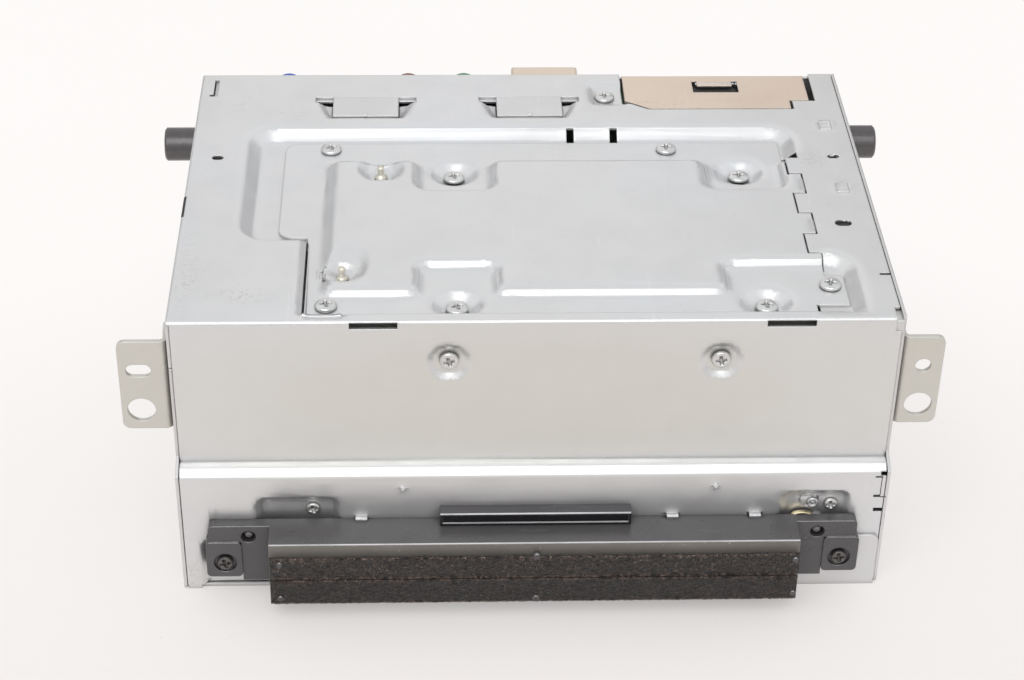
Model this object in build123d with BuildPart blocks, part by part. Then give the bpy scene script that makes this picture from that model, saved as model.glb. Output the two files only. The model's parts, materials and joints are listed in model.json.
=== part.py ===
from build123d import *
import os
from math import atan2, cos, hypot, pi, radians, sin, tan

# Car navigation head unit: a steel case of two DIN slots with a disc deck below, a circuit board
# in the middle and a hard disk under a pressed carrier lid on top. The front panel with its screen
# is off, so the bare slot bezel shows. Millimetres, +Z up, +Y to the rear, the origin on the
# bottom face, in the middle of the width and in the plane of the upper front.

os.makedirs("parts", exist_ok=True)

CENTRED = (Align.CENTER, Align.CENTER, Align.CENTER)
ABOVE = (Align.CENTER, Align.CENTER, Align.MIN)
BELOW = (Align.CENTER, Align.CENTER, Align.MAX)
LOW_CORNER = (Align.MIN, Align.MIN, Align.MIN)

# The case: overall sizes, sheet and the step in its front
CASE_WIDTH = 180.0
CASE_DEPTH = 123.0
CASE_HEIGHT = 80.5
SHEET = 0.8
BEND_RADIUS = 1.0
FRONT_STEP = 4.5
STEP_TOP_Z = 38.4
STEP_LOW_Z = 36.7
FRONT_EDGE_Z = 1.2
BASE_SHEET = 1.0
BASE_LIP = 9.0
SIDE_FOLD = 14.0
SIDE_LAP = 6.0
SIDE_VENT_Z = 47.0
SHELF_WIDTH = 8.0
EDGE_GAP = 0.2
HOLE_GAP = 0.1
RUN_GAP = 0.05
THROUGH = 30.0

HALF_WIDTH = CASE_WIDTH / 2
INNER_X = HALF_WIDTH - SHEET
INNER_REAR = CASE_DEPTH - SHEET
UNDER_TOP = CASE_HEIGHT - SHEET
LOWER_FRONT = -FRONT_STEP
FOLD_LOW_Z = CASE_HEIGHT - SIDE_FOLD

# The well in the top sheet that the carrier lid lies in
WELL_DEPTH = 3.0
WELL_SLOPE = 45.0
WELL_LEFT = -74.6
WELL_RIGHT = 73.4
WELL_REAR = 93.3
WELL_FRONT = 3.4
WELL_ARM_FRONT = 37.0
WELL_NOSE_RIGHT = 81.0
WELL_NOSE_REAR = 29.8
WELL_CORNER = 7.0
SEAM_X = -57.4
LEDGE = 10.0
WELL_RUN = WELL_DEPTH * tan(radians(WELL_SLOPE))
WELL_FLOOR = CASE_HEIGHT - WELL_DEPTH

# The carrier lid: flange, raised middle, notches round the disk's screws and locking edge
LID_LEFT = -64.8
LID_REAR = 88.3
LID_RIGHT = 73.0
LID_FRONT = 4.2
LID_ARM_FRONT = 41.0
LID_SEAM_X = -56.2
LID_NOSE_RIGHT = 77.6
LID_NOSE_FRONT = 9.5
LID_NOSE_REAR = 22.3
LID_NOSE_STEP = 69.3
LID_CORNER = 4.0
LID_RISE = WELL_DEPTH - SHEET
LID_WALL_SLOPE = 20.0
RAISED_LEFT = -52.4
RAISED_REAR = 77.0
RAISED_FRONT = 13.4
RAISED_CORNER = 2.6
OPENING_REAR = RAISED_REAR + 3.0
NOTCH_WIDTH = 19.0
NOTCH_DEPTH = 14.0
LID_FLANGE_TOP = CASE_HEIGHT - LID_RISE
LOCK_TABS = ((29.7, 38.3), (48.7, 58.1), (68.4, 76.3))
LOCK_REACH = 3.4
LOCK_GAP = 0.4
TONGUES_UNDER_TOP = ((40.5, 46.5), (60.5, 66.5))
TONGUE_REACH = 3.5

# Round dimples and screws
DIMPLE_MOUTH_R = 6.2
DIMPLE_FLOOR_R = 3.9
DIMPLE_DEPTH = 2.0
SCREW_HEAD_R = 2.75
SCREW_HEAD = 1.8
SCREW_R = 1.5
SCREW_LENGTH = 4.0
LID_SCREW_LENGTH = 2.4
STUD_DIMPLE_R = 5.0
STUD_DIMPLE_FLOOR_R = 4.2
STUD_DIMPLE_DEPTH = 2.0
STUD_R = 1.0
STUD_BODY_R = 2.4
STUD_TIP = 2.6
LID_SCREWS = ((-52.5, 84.6), (38.5, 84.3), (-51.6, 9.6), (73.8, 17.6))
LID_STUDS = ((-38.9, 71.7), (-48.0, 23.2))

# The hard disk: a 2.5 inch drive with its standard bottom holes
DISK_LENGTH = 100.2
DISK_WIDTH = 69.85
DISK_HEIGHT = 9.5
DISK_HOLE_LENGTH = 76.6
DISK_HOLE_WIDTH = 61.72
DISK_HOLE_TO_PLUG = 14.0
DISK_HOLE_TO_SIDE = 4.065
DISK_LEFT_HOLES = -19.4
DISK_FRONT_HOLES = 11.0
DISK_HOLE_DEPTH = 3.2
DISK_SCREWS = tuple(
    (DISK_LEFT_HOLES + i * DISK_HOLE_LENGTH, DISK_FRONT_HOLES + j * DISK_HOLE_WIDTH) for i in (0,
        1) for j in (0, 1)
)
DISK_TOP = LID_FLANGE_TOP - DIMPLE_DEPTH - SHEET
DISK_LEFT = DISK_LEFT_HOLES - DISK_HOLE_TO_PLUG
DISK_FRONT = DISK_FRONT_HOLES - DISK_HOLE_TO_SIDE

# Cut-outs in the top sheet at the rear
TONGUE_WIDTH = 18.2
TONGUE_FRONT = 99.8
TONGUE_WELL_FRONT = 98.6
TONGUE_WELL_REAR = 110.3
TONGUE_WELL_WIDTH = 28.0
TONGUE_WELL_DEPTH = 1.6
TONGUE_CENTRES = (-43.5, 2.0)
TUNER_LEFT = 28.3
TUNER_RIGHT = 82.5
TUNER_FRONT = 103.0
TUNER_NOTCH_Y = 107.5
TUNER_NOTCH_LEFT = 35.0
TUNER_NOTCH_RIGHT = 76.0
TUNER_GAP = 0.7
TUNER_SIDE_GAP = 1.7
TUNER_SHEET = 0.5
TUNER_HEIGHT = 3.2
TUNER_BOARD = 1.2
REAR_SCREW = (23.4, 111.2)
REAR_SCREW_BOWL = 1.2
CLIP_LEFT = 11.7
CLIP_RIGHT = 25.6
CLIP_GAP = 2.0

# The front sheet: dimples, pips, pockets and the opening for a disc
FRONT_SCREWS = ((-21.5, CASE_HEIGHT - 12.4), (45.4, CASE_HEIGHT - 12.5))
FRONT_DIMPLE_R = 5.5
FRONT_DIMPLE_FLOOR_R = 4.0
FRONT_DIMPLE_DEPTH = 1.3
POCKET_DEPTH = 1.8
POCKET_CORNER = 3.0
LEFT_POCKET = (-70.5, -49.1, 29.9)
RIGHT_POCKET = (62.4, 80.8, 30.5)
SIDE_POCKET = (-85.0, -60.0, 16.8)
SIDE_POCKET_DEPTH = 1.5
POCKET_SCREWS = ((-56.0, 25.2), (75.9, 25.2))
POCKET_BOSS = (70.1, 26.6)
HOOKS_X = (-43.8, 35.3, 56.4)
HOOK_WIDTH = 3.0
BEND_WINDOWS = ((-45.7, -34.0), (55.9, 67.9))

# The disc, its slot and the plastic bezel round it
DISC_R = 60.0
DISC_THICKNESS = 1.2
DISC_Z = 13.5
SLOT_WIDTH = 124.0
SLOT_HEIGHT = 5.0
SHEET_SLOT_MARGIN = 1.5
BEZEL_HALF_WIDTH = 66.9
BEZEL_FRONT = -16.2
BEZEL_TOP_Z = 23.06
BEZEL_LOW_Z = 4.5
BEZEL_WALL = 1.7
BEZEL_SHELF = 1.2
WING_HALF_WIDTH = 82.5
WING_FRONT = -7.5
WING_BLOCK_Z = 17.8
PAD_INNER_X = 74.3
PAD_OUTER_X = 83.4
PAD_TOP_Z = 18.0
PAD_LOW_Z = 6.9
PAD_FRONT = -7.9
STRIP_LOW_Z = 5.4
GUIDE_HOLE = (72.4, 19.7)
GUIDE_HOLE_R = 1.9
WING_SCREW = (78.6, 11.5)
WING_SCREW_RING_R = 2.95
WING_SCREW_HEAD_R = 2.3
BAR_LEFT = -23.9
BAR_RIGHT = 24.5
BAR_FRONT = -8.0
BAR_TOP_Z = 26.9
FELT_HALF_WIDTH = 66.7
FELT_THICKNESS = 1.2
FELT_TOP_Z = 21.0
FELT_LOW_Z = 5.7
FELT_SLIT = 0.6

# The base panel's rounded plate in front of the case at the right
PLATE_LEFT = 62.0
PLATE_RIGHT = 89.0
PLATE_TOP_Z = 16.4

# Mounting ears and rear bushes
EAR_SHEET = 1.2
EAR_FRONT = 2.0
EAR_LOW_Z = CASE_HEIGHT - 33.2
EAR_TOP_Z = CASE_HEIGHT - 7.0
EAR_FLANGE_REAR = 22.0
EAR_REACH = (12.5, 10.8)
EAR_CORNER = 2.0
EAR_HOLE_Z = EAR_LOW_Z + 5.7
EAR_HOLE_R = 3.5
EAR_UPPER_Z = EAR_LOW_Z + 17.6
EAR_SLOT_LENGTH = 6.3
EAR_SLOT_WIDTH = 3.7
EAR_SMALL_HOLE_R = 2.0
EAR_HOLE_X = (97.6, 96.0)
EAR_SCREW_Y = 14.0
EAR_SCREWS_Z = (EAR_LOW_Z + 5.7, EAR_LOW_Z + 20.7)
BUSH_Y = 104.0
BUSH_Z = CASE_HEIGHT - 11.3
BUSH_R = 4.65
BUSH_LENGTH = 9.5
BUSH_SPIGOT_R = 2.0

# Sockets on the rear panel
COAX_X = (-66.4, -31.9, -15.8)
COAX_Z = CASE_HEIGHT - 10.5
COAX_R = 4.0
COAX_BORE_R = 2.9
COAX_LENGTH = 13.0
COAX_FLANGE = 10.0
SHELL_LEFT = -2.0
SHELL_RIGHT = 17.2
SHELL_LOW_Z = CASE_HEIGHT - 13.5
SHELL_TOP_Z = CASE_HEIGHT - 5.0
SHELL_LENGTH = 13.5
SOCKET_FLANGE = 1.5
PLUG_LEFT = -78.0
PLUG_WIDTH = 52.0
PLUG_LOW_Z = 39.5
PLUG_HEIGHT = 23.5
PLUG_LENGTH = 14.0
PLUG_WALL = 1.8
PLUG_PIN = 1.0
PLUG_ROW_SPACING = 13.0

# The disc deck
DECK_SIDE_ROOM = 13.2
DECK_HALF_WIDTH = INNER_X - DECK_SIDE_ROOM
DECK_FRONT = 2.5
DECK_REAR = 120.0
DECK_FLOOR_Z = 5.0
DECK_SHEET = 1.0
DECK_TOP_Z = 28.0
DAMPER_R = 4.5
DAMPER_X = DECK_HALF_WIDTH - 8.0
DAMPERS = ((-DAMPER_X, 12.0), (DAMPER_X, 12.0), (-DAMPER_X, 112.0), (DAMPER_X, 112.0))
SPINDLE_Y = 59.0
SPINDLE_R = 1.0
SPINDLE_MOTOR_R = 13.0
SPINDLE_MOTOR_HEIGHT = 4.0
TURNTABLE_R = 15.5
TURNTABLE_HEIGHT = 2.4
HUB_R = 7.4
HUB_HEIGHT = 1.5
ROD_R = 1.5
ROD_Z = 9.3
ROD_SPACING = 40.0
ROD_LEFT = 8.0
SCREW_PITCH = 6.0
SLED_HOME_X = 25.0
SLED_TRAVEL = 34.0
SLED_LENGTH = 20.0
SLED_LOW_Z = 6.6
SLED_HEIGHT = 4.8
LENS_R = 3.2
LEAD_R = 1.2
LEAD_Y_OFFSET = 27.0
SLED_MOTOR_R = 3.1
SLED_MOTOR_LENGTH = 13.0
ROLLER_Y = 9.0
ROLLER_Z = 9.6
ROLLER_END_R = 3.0
ROLLER_MIDDLE_R = 2.4
ROLLER_HALF_LENGTH = 61.0
ROLLER_SHAFT_R = 1.5
GUIDE_LOW_Z = 15.0
GUIDE_DEPTH = 12.0
MODULE = 0.8
BACKLASH = 0.12
MESH_GAP = 0.06
PRESSURE_ANGLE = 20.0
ROLLER_TEETH = 18
IDLER_TEETH = 24
PINION_TEETH = 10
GEAR_WIDTH = 2.4
GEAR_GAP = 1.2
GEAR_LEFT = -DECK_HALF_WIDTH - GEAR_GAP - GEAR_WIDTH
IDLER_DIRECTION = 20.0
PINION_DIRECTION = 10.0
LOADING_MOTOR_R = 7.0
LOADING_MOTOR_LENGTH = 14.0
ARM_HINGE_Y = 108.0
ARM_HINGE_Z = 22.0
ARM_PIN_R = 1.0
ARM_HALF_WIDTH = 13.0
ARM_SHEET = 1.0
ARM_LIFT = 7.0
ARM_LEVEL = 17.9
PUCK_R = 13.0
PUCK_HEIGHT = 3.0
PUCK_STEM_R = 3.0
LEVER_PIVOT = (62.0, 104.0)
LEVER_REACH = (-22.4, -4.0)
LEVER_Z = 22.6
LEVER_PIN_R = 1.6
LEVER_STUD_R = 2.0

# The brace behind the upper front
BRACE_LEFT = -40.0
BRACE_RIGHT = 64.0
BRACE_LEG = 12.0
BRACE_FLANGE = 6.0
BRACE_TOP_Z = WELL_FLOOR - 3.0
BRACE_LOW_Z = DISK_TOP - DISK_HEIGHT - 5.5

# The board tray above the deck, and the screws through the side panels
TRAY_FRONT = 2.0
TRAY_Z = 36.0
TRAY_LIP = 6.0
TRAY_REAR = 118.0
SIDE_SCREWS_Y = (30.0, 96.0)
SIDE_SCREWS_Z = (BASE_LIP / 2 + 0.5, TRAY_Z + TRAY_LIP / 2)
BOARD_Z = 43.0
BOARD = 1.6
BOARD_HALF_WIDTH = 80.0
BOARD_FRONT = 10.0
BOARD_REAR = 114.0
POST_R = 2.5
POST_SCREW_R = 1.2
POSTS = ((-74.0, 16.0), (74.0, 16.0), (-74.0, 108.0), (74.0, 108.0), (0.0, 16.0), (0.0, 108.0))


def block(low, high, mode=Mode.ADD):
    """A rectangular block between two corners of the case's frame."""
    with Locations(low):
        Box(*(b - a for a, b in zip(low, high)), align=LOW_CORNER, mode=mode)


def cut(low, high):
    block(low, high, mode=Mode.SUBTRACT)


def plane_out(origin, out):
    """A plane at a point that faces along out; on an upright face its x runs along +X or +Y."""
    across = (0, 1, 0) if abs(out[0]) else (1, 0, 0)
    return Plane(origin=origin, x_dir=across, z_dir=out)


def drill(points, out, radius, depth=THROUGH):
    """Round holes on points of the case's frame, centred on them and running both ways."""
    for point in points:
        with Locations(plane_out(point, out).location):
            Cylinder(radius, depth, align=CENTRED, mode=Mode.SUBTRACT)


def dimple(point, out, mouth_r, floor_r, depth):
    """A round dimple with sloping walls, pressed into a sheet whose outer face holds the point."""
    face = plane_out(point, out)
    with Locations(face.offset(-depth - SHEET).location):
        Cone(floor_r, mouth_r, depth, align=ABOVE)
    with Locations(face.offset(-depth).location):
        Cone(floor_r, mouth_r, depth, align=ABOVE, mode=Mode.SUBTRACT)


def polygon(face, points, radius=0.0, corners=()):
    """A flat shape on a plane from its corner points; the numbered corners are rounded."""
    with BuildSketch(face) as made:
        with BuildLine():
            Polyline(*points, close=True)
        make_face()
        if corners:
            spots = [points[i] for i in corners]
            fillet([v for v in made.vertices() if min(hypot(v.X - x, v.Y - y) for x,
                y in spots) < HOLE_GAP], radius)
    return made.sketch


def rounded(face, left, right, low, high, radius):
    """A rectangle with rounded corners on a plane, drawn between its limits."""
    with BuildSketch(face) as made:
        with Locations(((left + right) / 2, (low + high) / 2)):
            RectangleRounded(right - left, high - low, radius)
    return made.sketch


def well(face, shape, depth, *sizes):
    """A well with sloping walls and a flat floor, pressed into a sheet from its outer face."""
    extrude(shape(face.offset(-SHEET), *sizes), amount=-depth, taper=WELL_SLOPE)
    extrude(shape(face, *sizes), amount=-depth, taper=WELL_SLOPE, mode=Mode.SUBTRACT)


def fasteners(points, out, head_r, head, shank_r, shank):
    """Pan-head screws whose heads stand on the given points and whose shanks go in."""
    with BuildPart() as made:
        for point in points:
            with Locations(plane_out(point, out).location):
                Cylinder(head_r, head, align=ABOVE)
                Cylinder(shank_r, shank, align=BELOW)
    return made


pieces = {}

TOP_FACE = Plane.XY.offset(CASE_HEIGHT)
LOWER_FRONT_FACE = plane_out((0, LOWER_FRONT, 0), (0, -1, 0))


def well_outline(face):
    """The mouth of the lid's well: a wide rear part, an arm to the front and a nose at the right."""
    points = (
        (SEAM_X, WELL_FRONT), (WELL_NOSE_RIGHT, WELL_FRONT), (WELL_NOSE_RIGHT, WELL_NOSE_REAR),
        (WELL_RIGHT, WELL_NOSE_REAR), (WELL_RIGHT, WELL_REAR), (WELL_LEFT, WELL_REAR),
        (WELL_LEFT, WELL_ARM_FRONT), (SEAM_X, WELL_ARM_FRONT),
    )
    return polygon(face, points, WELL_CORNER, (2, 4, 5, 6))


def tongue_outline(face, centre):
    """The mouth of a tongue's well, which narrows to the tongue's width at its front."""
    half_rear = TONGUE_WELL_WIDTH / 2
    half_front = TONGUE_WIDTH / 2 + TONGUE_WELL_DEPTH
    return polygon(face, (
        (centre - half_front, TONGUE_WELL_FRONT), (centre + half_front, TONGUE_WELL_FRONT),
        (centre + half_rear, TONGUE_WELL_REAR), (centre - half_rear, TONGUE_WELL_REAR),
    ))


def tuner_outline(face, gap, side_gap):
    """The tuner's cut-out in the top sheet, or its shield at the given gaps inside it."""
    rear = INNER_REAR if gap else CASE_DEPTH + 1
    left, right = TUNER_LEFT + gap, TUNER_RIGHT - side_gap
    return polygon(face, (
        (left, rear), (left, TUNER_NOTCH_Y + gap), (TUNER_NOTCH_LEFT + gap, TUNER_FRONT + gap),
        (TUNER_NOTCH_RIGHT - gap, TUNER_FRONT + gap), (TUNER_NOTCH_RIGHT - gap, TUNER_NOTCH_Y + gap),
        (right, TUNER_NOTCH_Y + gap), (right, rear),
    ))


def make_top_cover():
    """Top and front in one folded sheet, with the fold down the left side."""
    with BuildPart() as made:
        with BuildSketch(Plane.YZ.offset(-HALF_WIDTH)):
            with BuildLine():
                outer = FilletPolyline(
                    (CASE_DEPTH, CASE_HEIGHT), (0, CASE_HEIGHT), (0, STEP_TOP_Z),
                    (LOWER_FRONT, STEP_LOW_Z),
                    (LOWER_FRONT, FRONT_EDGE_Z), radius=BEND_RADIUS,
                )
                offset(outer, amount=SHEET, side=Side.LEFT)
            make_face()
        extrude(amount=HALF_WIDTH + INNER_X - EDGE_GAP)
        # Below the top bend the front stands between the side panels
        cut((-HALF_WIDTH, LOWER_FRONT - 1, 0), (-INNER_X + EDGE_GAP, SHEET, UNDER_TOP))
        block((-HALF_WIDTH, SHEET, FOLD_LOW_Z), (-INNER_X, CASE_DEPTH, UNDER_TOP + SHEET / 2))
        fold_edge = made.edges().filter_by(Axis.Y).filter_by_position(Axis.Z, UNDER_TOP + 0.5,
            CASE_HEIGHT + 1)
        fillet(fold_edge.sort_by(Axis.X)[0], BEND_RADIUS * 0.6)

        # The lid's well, with upright walls along both seams and open under the lid for the disk
        deep, high = WELL_FLOOR - SHEET - 1, CASE_HEIGHT + 1
        far_x = LID_NOSE_STEP + SHEET
        well(TOP_FACE, well_outline, WELL_DEPTH)
        cut((SEAM_X, WELL_FRONT, WELL_FLOOR), (SEAM_X + WELL_RUN + 1, WELL_ARM_FRONT + WELL_RUN, high))
        cut((SEAM_X, WELL_FRONT, WELL_FLOOR), (far_x, WELL_FRONT + WELL_RUN + 1, high))
        block((SEAM_X - SHEET, WELL_FRONT - SHEET, WELL_FLOOR - SHEET),
            (SEAM_X, WELL_ARM_FRONT + SHEET, UNDER_TOP + SHEET / 2))
        block((SEAM_X - SHEET, WELL_FRONT - SHEET, WELL_FLOOR - SHEET),
            (far_x, WELL_FRONT, UNDER_TOP + SHEET / 2))
        block((SEAM_X, WELL_FRONT, WELL_FLOOR - SHEET),
            (SEAM_X + LEDGE, WELL_ARM_FRONT + WELL_RUN, WELL_FLOOR))
        cut((SEAM_X + LEDGE, WELL_FRONT + SHEET, deep), (far_x, OPENING_REAR, high))
        cut((far_x - 1, LID_NOSE_REAR + 3, deep), (WELL_RIGHT, OPENING_REAR, high))
        drill([(x, y, WELL_FLOOR) for x, y in LID_STUDS], (0, 0, 1), STUD_BODY_R + 0.6, 4)
        for low, far in LOCK_TABS:
            block((WELL_RIGHT - LOCK_REACH, low, UNDER_TOP), (WELL_RIGHT + 1, far, CASE_HEIGHT))

        # Tongue wells, tuner cut-out, screw bowl and clip slots
        for centre in TONGUE_CENTRES:
            well(TOP_FACE, tongue_outline, TONGUE_WELL_DEPTH, centre)
            half = TONGUE_WELL_WIDTH / 2
            cut((centre - half, TONGUE_FRONT + 7.7, deep), (centre + half, TONGUE_WELL_REAR, high))
            half = TONGUE_WIDTH / 2 + HOLE_GAP
            cut((centre - half, TONGUE_FRONT - HOLE_GAP, deep), (centre + half, TONGUE_WELL_REAR, high))
        bowl = (REAR_SCREW[0] - 4.2, TUNER_LEFT + 2, REAR_SCREW[1] - 5.5, REAR_SCREW[1] + 6.5, 2.0)
        well(TOP_FACE, rounded, REAR_SCREW_BOWL, *bowl)
        extrude(tuner_outline(TOP_FACE, 0, 0), amount=-WELL_DEPTH, mode=Mode.SUBTRACT)
        for left in (CLIP_LEFT, CLIP_RIGHT - CLIP_GAP):
            cut((left, WELL_REAR - 8.5, deep), (left + CLIP_GAP, WELL_REAR - HOLE_GAP, high))

        # Holes, pads and notches along the rims
        for x, y, length, width in ((-82.6, 77.5, 3.1, 2.3), (83.1, 77.0, 3.2, 2.0),
            (80.8, 43.5, 4.4, 3.0)):
            with BuildSketch(TOP_FACE):
                with Locations((x, y)):
                    SlotOverall(length, width)
            extrude(amount=-2 * SHEET, mode=Mode.SUBTRACT)
        for x, y in ((83.2, 93.4), (83.1, 60.7)):
            block((x - 1.6, y - 2.2, CASE_HEIGHT - SHEET / 2), (x + 1.6, y + 2.2, CASE_HEIGHT + 0.4))
        cut((-HALF_WIDTH - 1, 47.8, CASE_HEIGHT - 2.2), (-HALF_WIDTH + 0.7, 58.1, high))
        cut((-86.2, 110.9, UNDER_TOP - 1), (-85.1, 120.3, high))
        cut((-87.2, 110.9, UNDER_TOP - 1), (-86.0, 112.1, high))
        cut((86.4, 19.2, UNDER_TOP - 1), (HALF_WIDTH, 20.2, high))
        cut((87.6, -1, UNDER_TOP - 3), (HALF_WIDTH, 5.0, high))
        for left, right in BEND_WINDOWS:
            cut((left, -1, CASE_HEIGHT - 2.2), (right, SHEET + 0.3, CASE_HEIGHT - 0.5))

        # The front: screw dimples, pips, pockets behind the bezel and the slot for the disc
        for x, z in FRONT_SCREWS:
            dimple((x, 0, z), (0, -1, 0), FRONT_DIMPLE_R, FRONT_DIMPLE_FLOOR_R, FRONT_DIMPLE_DEPTH)
        for left, right, top in (LEFT_POCKET, RIGHT_POCKET):
            well(LOWER_FRONT_FACE, rounded, POCKET_DEPTH, left, right, BEZEL_TOP_Z - 4, top,
                POCKET_CORNER)
        left, right, top = SIDE_POCKET
        well(LOWER_FRONT_FACE, rounded, SIDE_POCKET_DEPTH, left, right, -8, top, POCKET_CORNER)
        with Locations((POCKET_BOSS[0], LOWER_FRONT + POCKET_DEPTH + 0.1, POCKET_BOSS[1])):
            Cylinder(2.2, 1.4, rotation=(90, 0, 0))
        for x in (-33.3, 45.8):
            with Locations((x, LOWER_FRONT, 32.7)):
                Cylinder(0.7, 0.8, rotation=(90, 0, 0))
        for x in HOOKS_X:
            block((x - HOOK_WIDTH / 2, LOWER_FRONT - 1.5, BEZEL_TOP_Z),
                (x + HOOK_WIDTH / 2, LOWER_FRONT + 0.3, BEZEL_TOP_Z + 0.8))
        half = SLOT_WIDTH / 2 + SHEET_SLOT_MARGIN
        tall = SLOT_HEIGHT / 2 + SHEET_SLOT_MARGIN
        cut((-half, LOWER_FRONT - 1, DISC_Z - tall), (half, LOWER_FRONT + 4, DISC_Z + tall))
        cut((-HALF_WIDTH, LOWER_FRONT - 8, -10), (HALF_WIDTH, LOWER_FRONT + 8, FRONT_EDGE_Z))
        block((-88.8, LOWER_FRONT, 0), (-85.4, LOWER_FRONT + SHEET, FRONT_EDGE_Z + 1))
        cut((87.6, LOWER_FRONT - 1, 35.2), (HALF_WIDTH, LOWER_FRONT + 2, 36.4))
        cut((86.7, LOWER_FRONT - 1, 23.6), (HALF_WIDTH, LOWER_FRONT + 2, 24.8))

        # Screw holes
        drill([(x, y, WELL_FLOOR) for x, y in LID_SCREWS], (0, 0, 1), SCREW_R + HOLE_GAP, 8)
        drill([(REAR_SCREW[0], REAR_SCREW[1], CASE_HEIGHT)], (0, 0, 1), SCREW_R + HOLE_GAP, 8)
        drill([(x, 0, z) for x, z in FRONT_SCREWS], (0, 1, 0), SCREW_R + HOLE_GAP, 8)
        drill([(x, LOWER_FRONT, z) for x, z in POCKET_SCREWS], (0, 1, 0), SCREW_R + HOLE_GAP, 8)
        drill([(s * WING_SCREW[0], LOWER_FRONT, WING_SCREW[1]) for s in (-1, 1)], (0, 1, 0),
            SCREW_R + HOLE_GAP, 8)
        drill([(-HALF_WIDTH, BUSH_Y, BUSH_Z)], (1, 0, 0), BUSH_SPIGOT_R + RUN_GAP, 6)
        drill([(-HALF_WIDTH, EAR_SCREW_Y, EAR_SCREWS_Z[1])], (1, 0, 0), SCREW_R + HOLE_GAP, 6)
    return made


def raised_middle(face, inset):
    """The outline of the raised middle, which steps back round each of the disk's screws."""
    left, right = RAISED_LEFT, LID_RIGHT + 2 * LID_RISE
    notch_left = DISK_LEFT_HOLES + 0.2 - NOTCH_WIDTH / 2
    notch_right = notch_left + NOTCH_WIDTH
    second_left = notch_left + DISK_HOLE_LENGTH
    second_right = second_left + NOTCH_WIDTH + 1
    front, rear = RAISED_FRONT, RAISED_REAR
    front_step, rear_step = front + NOTCH_DEPTH - 1, rear - NOTCH_DEPTH - 1
    with BuildSketch(face) as made:
        with BuildLine():
            Polyline(
                (left, front), (notch_left, front), (notch_left, front_step), (notch_right, front_step),
                (notch_right, front), (second_left, front), (second_left, front_step),
                (right, front_step),
                (right, rear), (second_right, rear), (second_right, rear_step), (second_left, rear_step),
                (second_left, rear), (notch_right, rear), (notch_right, rear_step),
                (notch_left, rear_step),
                (notch_left, rear), (left, rear), close=True,
            )
        make_face()
        fillet(made.vertices(), RAISED_CORNER)
        if inset:
            offset(amount=-inset)
    return made.sketch


def make_lid():
    """The carrier lid: a flat flange, a raised middle with notches and dimples for the disk's screws."""
    flange_face = Plane.XY.offset(LID_FLANGE_TOP - SHEET)
    flange_right = WELL_RIGHT - WELL_RUN - 1
    flange = (
        (LID_SEAM_X, LID_FRONT), (LID_NOSE_STEP, LID_FRONT), (LID_NOSE_STEP, LID_NOSE_FRONT),
        (LID_NOSE_RIGHT, LID_NOSE_FRONT), (LID_NOSE_RIGHT, LID_NOSE_REAR), (LID_RIGHT, LID_NOSE_REAR),
        (LID_RIGHT, RAISED_REAR + 1), (flange_right, RAISED_REAR + 1), (flange_right, LID_REAR),
        (LID_LEFT, LID_REAR), (LID_LEFT, LID_ARM_FRONT), (SEAM_X, LID_ARM_FRONT),
        (LID_SEAM_X - 0.4, WELL_ARM_FRONT - 1),
    )
    with BuildPart() as made:
        extrude(polygon(flange_face, flange, LID_CORNER, (9, 10)), amount=SHEET)
        extrude(raised_middle(flange_face.offset(SHEET), 0), amount=LID_RISE, taper=LID_WALL_SLOPE)
        extrude(raised_middle(flange_face, SHEET), amount=LID_RISE, taper=LID_WALL_SLOPE,
            mode=Mode.SUBTRACT)
        cut((LID_RIGHT, LID_NOSE_REAR, LID_FLANGE_TOP - 2), (HALF_WIDTH, LID_REAR, CASE_HEIGHT + 1))
        for low, far in LOCK_TABS:
            corner = (HALF_WIDTH, far + LOCK_GAP, CASE_HEIGHT + 1)
            cut((WELL_RIGHT - LOCK_REACH - LOCK_GAP, low - LOCK_GAP, LID_FLANGE_TOP - 2), corner)
        for low, far in TONGUES_UNDER_TOP:
            block((LID_RIGHT - 1.5, low, UNDER_TOP - SHEET), (LID_RIGHT + TONGUE_REACH, far, UNDER_TOP))
        for x, y in DISK_SCREWS:
            dimple((x, y, LID_FLANGE_TOP), (0, 0, 1), DIMPLE_MOUTH_R, DIMPLE_FLOOR_R, DIMPLE_DEPTH)
        for x, y in LID_STUDS:
            dimple((x, y, CASE_HEIGHT), (0, 0, 1), STUD_DIMPLE_R, STUD_DIMPLE_FLOOR_R, STUD_DIMPLE_DEPTH)
        drill([(x, y, LID_FLANGE_TOP) for x, y in DISK_SCREWS + LID_SCREWS], (0, 0, 1),
            SCREW_R + HOLE_GAP)
        drill([(x, y, LID_FLANGE_TOP) for x, y in LID_STUDS], (0, 0, 1), STUD_R + RUN_GAP)
    return made


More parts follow.
